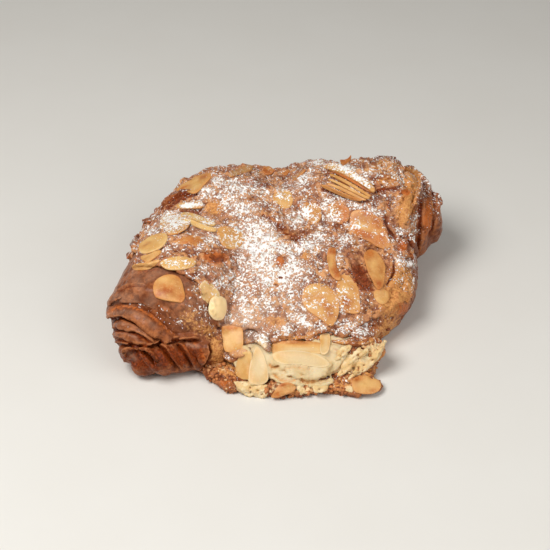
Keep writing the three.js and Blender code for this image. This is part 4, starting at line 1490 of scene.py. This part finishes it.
def thicken(bm, sight):
    """Gives a sheet that faces the camera its back, and rounds its rim."""
    bm.normal_update()
    inward = -sum((face.normal * face.calc_area() for face in bm.faces), Vector()).normalized()
    if inward.dot(sight) < 0:
        inward = -inward
    back = bmesh.ops.extrude_face_region(bm, geom=bm.faces[:], use_keep_orig=True)["geom"]
    back = [part for part in back if isinstance(part, bmesh.types.BMVert)]
    bmesh.ops.translate(bm, verts=back, vec=inward * FLAKE_THICK * MM)
    bmesh.ops.recalc_face_normals(bm, faces=bm.faces)
    joined = [edge for edge in bm.edges if len(edge.link_faces) == 2]
    sharp = [edge for edge in joined if edge.calc_face_angle() > SHARP]
    bmesh.ops.bevel(bm, geom=sharp, offset=FLAKE_BEVEL * MM, segments=2, profile=0.5, affect="EDGES",
                    material=-1, clamp_overlap=True)


def draw_flake(beds, outline, lift, seed):
    """One slice of almond from its outline in pixels, lifted some millimetres off its bed."""
    bm = bmesh.new()
    bm.verts.layers.float.new("rim")
    blank = bmesh.ops.create_circle(bm, cap_ends=True, segments=FLAKE_SIDES, radius=BLANK_RADIUS)
    face = blank["verts"][0].link_faces[0]
    for ring in range(FLAKE_RINGS):
        bmesh.ops.inset_region(bm, faces=[face], thickness=RING_WIDTH, use_boundary=True)
    pixels = flake_pixels(bm, outline)
    rays = [ray_through(*pixel) for pixel in pixels]
    depths, fit = smooth_depths(beds, pixels, rays)
    depths = fit + FLAKE_SAG * np.clip(depths - fit, -MM, MM)
    for vert, ray, depth in zip(bm.verts, rays, depths):
        place = Vector((CURL_SIZE * vert.co.x, CURL_SIZE * vert.co.y, seed))
        vert.co = camera.location + ray * (depth - (lift + FLAKE_CURL * noise.noise(place)) * MM)
    thicken(bm, rays[0])
    return bm


print("rings of a flake:", FLAKE_RINGS + 1)

# %% Flakes on the left
# Each row: how toasted, how sugared, the lift, how much of it the bed leaves free, and the outline.
FLAKES = [
    (0.5, 0.1, 0.6, 1.0, [(153, 288), (155, 281), (160, 277), (166, 274.5), (173, 274.5), (179, 277),
        (182, 282), (184, 290), (185, 297), (182, 302), (176, 301.5), (168, 300.5), (160, 298.5),
        (155, 296)]),
    (-0.3, 0.9, 0.4, 0.9, [(200, 289), (201, 284), (205, 281), (211, 283), (217, 289), (220, 294),
        (218, 300), (210, 304), (205, 302), (202, 297)]),
    # This flake's toast of -2.0 paints it lighter than the rest, as painted light on a face that lies in
    # shade.
    (-2.0, 0.1, 1.2, 1.0, [(210, 303), (212, 298.5), (217, 296), (222, 296.5), (226, 300), (227, 307),
        (226, 314), (223, 319), (218, 320.5), (213, 318.5), (209, 312)]),
    (0.3, 0.1, 0.5, 1.0, [(221.5, 328), (223, 326), (229, 325.5), (236, 326), (241, 327.5), (243, 332),
        (243, 344), (242, 350), (239, 352), (232, 352.5), (225.5, 351.5), (223.5, 347), (222, 338)]),
    (-0.1, 0.2, 0.7, 1.0, [(140, 243), (145, 239.5), (151, 235.5), (158, 233.5), (164, 233), (167, 235),
        (167, 239), (164, 244), (159, 248), (152, 251), (145, 253), (140.5, 252), (138.5, 248)]),
    (0.3, 0.1, 0.4, 1.0, [(141, 256), (148, 254), (155, 251), (160, 250), (161, 252), (155, 257),
        (148, 261.5), (144.5, 261), (141, 259)]),
    (0.25, 0.1, 0.6, 1.0, [(132, 266), (137, 264), (145, 263), (152, 261.5), (158, 260), (159, 262),
        (154, 266.5), (148, 269.5), (140, 270.5), (133.5, 269.5)]),
    (-0.1, 1.1, 0.6, 0.95, [(160, 263), (163, 260), (170, 257.5), (178, 256), (187, 257), (194, 259.5),
        (196, 262), (193, 266), (186, 268.5), (177, 269.5), (168, 269), (163, 266.5)]),
    (0.8, 0.4, 0.2, 0.85, [(172, 241), (177, 240), (183, 236.5), (190, 235), (197, 236), (203, 240),
        (201, 244.5), (195, 245.5), (186, 244), (178, 243.5)]),
    (0.3, 1.25, 0.9, 0.9, [(161, 217), (166, 213), (174, 212), (181, 215), (188, 219), (190, 222),
        (187, 227), (181, 231), (174, 233.5), (168, 234), (162, 231), (160, 225)]),
    (0.0, 0.9, 1.2, 1.0, [(181, 213), (188, 212), (197, 214.5), (207, 219), (215, 222.5), (213.5, 225),
        (205, 223), (196, 219.5), (188, 216.5), (182, 215.5)]),
    (-0.1, 0.6, 1.4, 1.0, [(184, 218), (190, 219), (198, 222), (207, 225.5), (216, 228), (215, 231),
        (207, 230), (199, 227.5), (191, 223.5), (186, 221)]),
    (0.3, 0.7, 0.6, 0.9, [(217, 229), (222, 226.5), (229, 226), (237, 229), (243, 234), (244, 241),
        (239, 247), (231, 249), (224, 246), (220, 240), (217.5, 234)]),
    (0.2, 1.3, 1.0, 0.95, [(175, 206), (180, 203), (190, 201.5), (200, 200.5), (203, 204), (200, 207.5),
        (190, 208), (181, 208)]),
    (0.35, 0.1, 0.5, 1.0, [(176, 190), (180, 185.5), (186, 182), (192, 178), (199, 175), (207, 173),
        (211, 173.5), (210, 178), (204, 184), (199, 190), (193, 193), (189, 192), (186, 190.5),
        (180, 191)]),
]
print("flakes on the left:", len(FLAKES))

# %% Flakes at the back, and a stack of slivers
FLAKES += [
    (0.5, 0.6, 1.2, 1.0, [(229, 173), (235, 169.5), (243, 166), (249, 164.5), (253, 166.5), (251, 170),
        (245, 172.5), (237, 175), (231, 176)]),
    (1.1, 0.0, 0.8, 1.0, [(340, 160), (345, 159.5), (349, 157.5), (351, 155), (350.5, 159),
        (347.5, 163), (343, 165)]),
    (0.9, 0.3, 0.8, 1.0, [(262, 170), (264, 167), (269, 166), (273, 169), (272, 173), (266, 174)]),
    (0.9, 0.1, 1.0, 1.0, [(283, 174), (285, 171), (289, 169), (288.5, 171.5), (285.5, 175)]),
    (0.6, 0.2, 1.0, 1.0, [(292, 177.5), (297, 173.5), (304, 169), (304.5, 170.5), (299, 175),
        (294, 179)]),
    (0.2, 0.7, 0.3, 0.85, [(273, 196), (276, 192), (282, 190.5), (288, 190), (292, 194), (293, 200),
        (291, 206), (285, 208.5), (279, 206.5), (274, 202)]),
    (0.5, 1.2, 0.3, 0.85, [(302, 205), (305, 202.5), (310, 202), (316, 203.5), (320, 207), (321.5, 214),
        (319.5, 220), (314, 224), (309, 223), (304, 218), (302, 211)]),
    (0.85, 1.3, 0.2, 0.85, [(328, 206), (331, 202.5), (338, 203), (346, 206), (350, 212), (349, 219),
        (344, 223.5), (337, 223), (332, 218), (329, 212)]),
    (1.3, 0.1, 1.6, 1.0, [(328, 167.5), (334, 169), (348, 175.6), (360, 182.6), (370, 189.5),
        (370, 192), (358, 185.5), (346, 178.5), (333, 171.8), (328, 169.3)]),
    (0.25, 0.1, 1.0, 1.0, [(331, 173.6), (340, 176.8), (352, 183.4), (362, 189.8), (370, 195),
        (368, 196), (358, 190), (347, 183.8), (336, 177.6), (330, 175.2)]),
    (0.2, 0.1, 1.8, 1.0, [(329, 178.6), (338, 181.4), (350, 187.2), (360, 192.8), (369, 197.3),
        (366, 198.3), (355, 193), (344, 187.5), (334, 182.3), (329, 180.2)]),
    (0.35, 0.1, 0.6, 1.0, [(328, 183.2), (337, 185.4), (348, 189.9), (358, 195), (366, 199),
        (362, 199.8), (352, 195.5), (342, 190.8), (332, 186.4), (328, 184.6)]),
    (0.6, 0.1, 1.4, 1.0, [(322, 185.3), (330, 188), (341, 192.9), (352, 197.2), (361, 200.7),
        (356, 201), (346, 198), (335, 193.5), (326, 189), (322, 186.7)]),
]
print("flakes so far:", len(FLAKES))

# %% Flakes on the right
FLAKES += [
    (0.75, 0.8, 0.6, 0.97, [(351, 213), (358, 210), (366, 210.5), (374, 214), (380, 219), (384, 227),
        (388, 236), (391, 245), (386, 249), (378, 247), (370, 242), (361, 238), (353, 235),
        (350, 226)]),
    (0.55, 0.05, 1.0, 1.0, [(364, 255), (366, 251), (371, 249), (377, 252), (382, 258.5), (385.5, 266),
        (385, 275), (384, 283), (380.5, 289), (376, 287), (373, 281), (369, 273), (366, 264)]),
    (0.6, 0.1, 0.7, 1.0, [(328, 250), (329.5, 247.5), (335, 248), (336, 251), (335.5, 258),
        (336.5, 265), (339, 271), (341, 278), (338, 280), (334, 278), (330, 272), (328, 264),
        (327, 257)]),
    (0.5, 0.8, 0.3, 0.97, [(342, 271), (348, 272), (353, 277), (357, 284), (359, 292), (360, 301),
        (360, 311), (355, 313.5), (348, 312.5), (341, 309), (337, 298), (337, 284)]),
    (0.35, 0.75, 0.7, 0.95, [(304, 290), (309, 285), (316, 283), (323, 284), (330, 288), (336, 293),
        (339, 301), (339, 312), (336, 321), (331, 326), (324, 321.5), (317, 316.5), (309, 311),
        (304, 305), (302, 298)]),
    (0.2, 0.2, 0.4, 0.95, [(375, 291), (381, 288), (387, 291), (390, 297), (386, 303), (381, 304),
        (376, 300), (374, 295)]),
]
print("flakes so far:", len(FLAKES))

# %% Flakes on the filling and its edge, and a slab over the stack
FLAKES += [
    (0.1, 0.05, 0.3, 1.0, [(235.5, 374), (236.5, 363), (240, 354.5), (246, 351.5), (251, 353),
        (252, 364), (250, 378), (242, 379)]),
    (-0.2, 0.0, 0.6, 1.0, [(249, 382), (249, 371), (251, 360), (254, 350.5), (257, 346.5), (261, 349.5),
        (265, 358), (268, 370), (268, 380), (262, 384.5), (254, 384.5)]),
    (0.05, 0.05, 0.3, 1.0, [(271, 346), (275, 342.5), (285, 340.5), (295, 340), (308, 341),
        (320, 342.5), (328, 346), (326, 352), (315, 353.5), (300, 353), (285, 353), (273, 353)]),
    (-0.2, 0.0, 0.4, 1.0, [(272, 354), (280, 351), (295, 350.2), (310, 352.3), (320, 356), (328, 361),
        (329, 365), (322, 367), (310, 366), (298, 364), (285, 364), (276, 361)]),
    (-0.25, 0.0, 0.9, 1.0, [(319.5, 337), (321, 334), (327, 333), (330, 335), (330.3, 344),
        (327.5, 352.5), (322, 354), (320, 349), (320.5, 342)]),
    (0.35, 0.05, 0.9, 1.0, [(352, 383), (354, 378), (361, 375.5), (368, 375.5), (371.5, 378.5),
        (377, 379), (381, 383), (380, 389), (374, 393), (364, 393.5), (355, 391)]),
    (0.5, 0.05, 0.9, 1.0, [(271, 397), (275, 391), (279, 385), (286, 382.5), (293, 384), (296, 388),
        (292, 392.5), (284, 395.5), (276, 398)]),
    (0.2, 1.3, 2.9, 1.0, [(323, 166.5), (329, 163), (338, 164), (349, 169), (360, 175.5), (369, 182),
        (374.5, 187.5), (373, 191.5), (366, 187), (355, 180), (343, 173.5), (332, 169.5)]),
]
print("flakes in all:", len(FLAKES))

# %% Lay the flakes
SEED_STEP = 3.7
beds = beds_of(topping, left_horn, body, filling, ridges, torn)
meshes = []
for number, (toast, sugared, lift, free, outline) in enumerate(FLAKES):
    bm = draw_flake(beds, outline, lift, SEED_STEP * number)
    for name, value in (("toast", toast), ("dust", sugared), ("free", free)):
        layer = bm.verts.layers.float.new(name)
        for vert in bm.verts:
            vert[layer] = value
    mesh = bpy.data.meshes.new("flake")
    bm.to_mesh(mesh)
    bm.free()
    meshes.append(mesh)
bm = bmesh.new()
for mesh in meshes:
    bm.from_mesh(mesh)
    bpy.data.meshes.remove(mesh)
flakes = piece_of(bm, "flaked_almonds")
points, normals = points_of(flakes.data), normals_of(flakes.data)
browning = marked("toasted", points, normals) - marked("blanched", points, normals)
flakes.data.attributes["toast"].data.foreach_set("value", carried_by(flakes, "toast") + browning)
sugar_here = sugar_on(points, normals) * carried_by(flakes, "dust")
paint(flakes, "sugar", np.clip(sugar_here, 0, 1))
finish_piece(flakes, almond, "flaked_almond", "topping", "pastry", "almond_cream")

# %% [markdown]
# ## Press the bed below the flakes
# The baker patted the flakes down. Any lump of the bed that comes through a flake goes back behind it,
# as seen from the front, but along some rims it stays, so that these flakes look half sunk.

# %% Press the bed
PRESS_REACH = 4.0
BED_GAP = 0.25  # millimetres from the back of a flake to its bed
CREAM_GAP = 0.1  # millimetres from the front of a flake to the cream it sinks into
inner = carried_by(flakes, "rim") <= carried_by(flakes, "free")
pressing = [face.vertices[:] for face in flakes.data.polygons]
pressing = [corners for corners in pressing if all(inner[corner] for corner in corners)]
almond_bed = BVHTree.FromPolygons([vert.co[:] for vert in flakes.data.vertices], pressing)
for piece in (topping, left_horn, body, filling):
    behind = CREAM_GAP if piece == filling else FLAKE_THICK + BED_GAP
    points, pressed = points_of(piece.data), 0
    for number, point in enumerate(points):
        sight = (Vector(point) - camera.location).normalized()
        spot, normal, _, distance = almond_bed.ray_cast(Vector(point), sight, PRESS_REACH * MM)
        if spot is not None and normal.dot(sight) < 0:
            points[number] += np.array(sight) * (distance + behind * MM)
            pressed += 1
    move_points(piece.data, points)
    print(piece.name, "points pressed:", pressed)

# %% Finish the dough, the coat and the cream
paint_relief(topping)
# The coat's dark marks also take the painted shade in the gaps below its steps.
paint_marks(topping, strokes={"dark": coat_gaps})
finish_piece(topping, coat, "topping", "topping")
finish_piece(body, crust, "pastry", "pastry")
finish_piece(left_horn, crust, "pastry", "pastry")
finish_piece(ridges, crust, "pastry", "pastry")
finish_piece(filling, cream_paste, "almond_cream", "almond_cream")

# %% [markdown]
# ## Powdered sugar
# From a step away sugar is a white bloom, which the materials already show, but up close it lies in
# little clumps. Thousands of eight-sided specks are strewn with numpy over the surfaces that the drifts
# reach and joined into one mesh. Crumbs of torn pastry are strewn the same way, only fewer and larger.

# %% Spots and specks
UNEVEN = 0.9  # how much the points of a speck go in and out
STRETCH = (0.55, 1.45)
STAND = 0.25  # how far a speck's middle is above its bed, as a share of its radius


def strew(pieces, count, seed, chance):
    """Places and normals on the pieces' faces, drawn by each face's area and chance."""
    draw = np.random.default_rng(seed)
    spots, leans, weights = [], [], []
    for piece in pieces:
        mesh = piece.data
        mesh.calc_loop_triangles()
        corners = np.empty(3 * len(mesh.loop_triangles), dtype=np.int32)
        mesh.loop_triangles.foreach_get("vertices", corners)
        corners = corners.reshape(-1, 3)
        points, normals = points_of(mesh), normals_of(mesh)
        a, b, c = (points[corners[:, side]] for side in range(3))
        area = np.linalg.norm(np.cross(b - a, c - a), axis=1) / 2
        weights.append(area * chance(piece)[corners].mean(1))
        u, v = draw.random((2, len(corners)))
        fold = u + v > 1
        u[fold], v[fold] = 1 - u[fold], 1 - v[fold]
        spots.append(a + (b - a) * u[:, None] + (c - a) * v[:, None])
        leans.append(normals[corners].mean(1))
    weights = np.concatenate(weights)
    spots, leans = np.concatenate(spots), np.concatenate(leans)
    chosen = draw.choice(len(weights), size=count, replace=False, p=weights / weights.sum())
    return spots[chosen], leans[chosen], draw


def specks_mesh(bm, spots, leans, radii, draw, flat):
    """One joined mesh of small uneven copies of a shape, flattened along their normals."""
    ball = np.array([vert.co for vert in bm.verts])
    faces = np.array([[vert.index for vert in face.verts] for face in bm.faces])
    bm.free()
    count = len(spots)
    uneven = 1 + UNEVEN * (draw.random((count, len(ball), 1)) - 0.5)
    stretch = draw.uniform(*STRETCH, (count, 1, 3))
    shapes = ball[None] * uneven * stretch * radii[:, None, None]
    lean = leans / np.linalg.norm(leans, axis=1, keepdims=True)
    shapes -= lean[:, None, :] * (shapes * lean[:, None, :]).sum(2, keepdims=True) * flat
    points = (shapes + (spots + lean * (radii * STAND)[:, None])[:, None, :]).reshape(-1, 3)
    corners = (faces[None] + (np.arange(count) * len(ball))[:, None, None]).reshape(-1, 3)
    mesh = bpy.data.meshes.new("specks")
    mesh.from_pydata(points.tolist(), [], corners.tolist())
    return mesh


print("a speck is stretched by", STRETCH[0], "to", STRETCH[1])

# %% Strew the sugar
SUGAR_SPECKS = 22800
SUGAR_SEED = 4
SPECK_RADIUS = (0.08, 0.24)
SPECK_FLAT = 0.4
BUNCHING = 1.4  # above 1, specks gather where sugar lies thick
CORNERS = [(1, 0, 0), (-1, 0, 0), (0, 1, 0), (0, -1, 0), (0, 0, 1), (0, 0, -1)]


def sugar_chance(piece):
    return carried_by(piece, "sugar") ** BUNCHING


spots, leans, draw = strew([topping, flakes, body, ridges], SUGAR_SPECKS, SUGAR_SEED, sugar_chance)
radii = draw.uniform(*SPECK_RADIUS, SUGAR_SPECKS) * MM
bm = bmesh.new()
bmesh.ops.convex_hull(bm, input=[bm.verts.new(corner) for corner in CORNERS])
bm.verts.index_update()
grains = specks_mesh(bm, spots, leans, radii, draw, SPECK_FLAT)
sugar = bpy.data.objects.new("powdered_sugar", grains)
scene.collection.objects.link(sugar)
finish_piece(sugar, sugar_powder, "powdered_sugar", "topping")


# %% Crumbs' finish
def crumb_finish():
    finish = Finish("crumbs")
    tone = finish.carried("tone")
    fine = finish.lumps(0.6, 3.0)
    base = tone.ramp(0.1, 0.6).mix(colour(126, 64, 32), colour(200, 124, 66))
    base = tone.ramp(0.65, 0.85).mix(base, colour(238, 206, 154))
    finish.wire("Base Color", (fine.ramp(0.45, 0.7) * 0.4).mix(base, colour(120, 62, 32)))
    finish.wire("Roughness", 0.6 + 0.2 * fine)
    finish.bump(fine, 0.2)
    return finish.material


crumb_brown = crumb_finish()
print("finish:", crumb_brown.name)

# %% Strew the crumbs
CRUMBS = 620
CRUMB_SEED = 9
CRUMB_RADIUS = (0.3, 1.0)
SMALLER = 1.5  # above 1, small crumbs are more frequent
CRUMB_FLAT = 0.2
CRUMB_CLEAR = 1.6  # how far crumbs stay from the flakes, in millimetres


def crumb_chance(piece):
    return carried_by(piece, "crumbly")


spots, leans, draw = strew([body], CRUMBS, CRUMB_SEED, crumb_chance)
clear = [almond_bed.find_nearest(Vector(spot))[3] > CRUMB_CLEAR * MM for spot in spots]
spots, leans = spots[clear], leans[clear]
radii = draw.uniform(*CRUMB_RADIUS, len(spots)) ** SMALLER * MM
bm = bmesh.new()
bmesh.ops.create_icosphere(bm, subdivisions=1, radius=1.0)
crumbs = bpy.data.objects.new("crumbs", specks_mesh(bm, spots, leans, radii, draw, CRUMB_FLAT))
scene.collection.objects.link(crumbs)
points = points_of(crumbs.data)
paleness = marked("pale", points, np.tile(np.array(TO_CAMERA), (len(points), 1)))
tones = np.repeat(draw.random(len(spots)) * 0.7, len(points) // len(spots))
paint(crumbs, "tone", np.clip(tones + 0.6 * paleness, 0, 1))
finish_piece(crumbs, crumb_brown, "pastry", "pastry")

# %% [markdown]
# ## The table
# A plain pale disc, wide enough that its edge never shows.

# %% Lay the floor
FLOOR_SIDES, FLOOR_RADIUS = 64, 3.0


def table_finish():
    finish = Finish("pale table")
    grain = finish.lumps(40.0, 3.0)
    finish.wire("Base Color", grain.mix(colour(218, 214, 206), colour(222, 219, 212)))
    finish.wire("Roughness", 0.6)
    return finish.material


bm = bmesh.new()
bmesh.ops.create_circle(bm, cap_ends=True, segments=FLOOR_SIDES, radius=FLOOR_RADIUS)
floor = piece_of(bm, "floor")
floor.data.materials.append(table_finish())
print("floor:", 2 * FLOOR_RADIUS, "metres across")
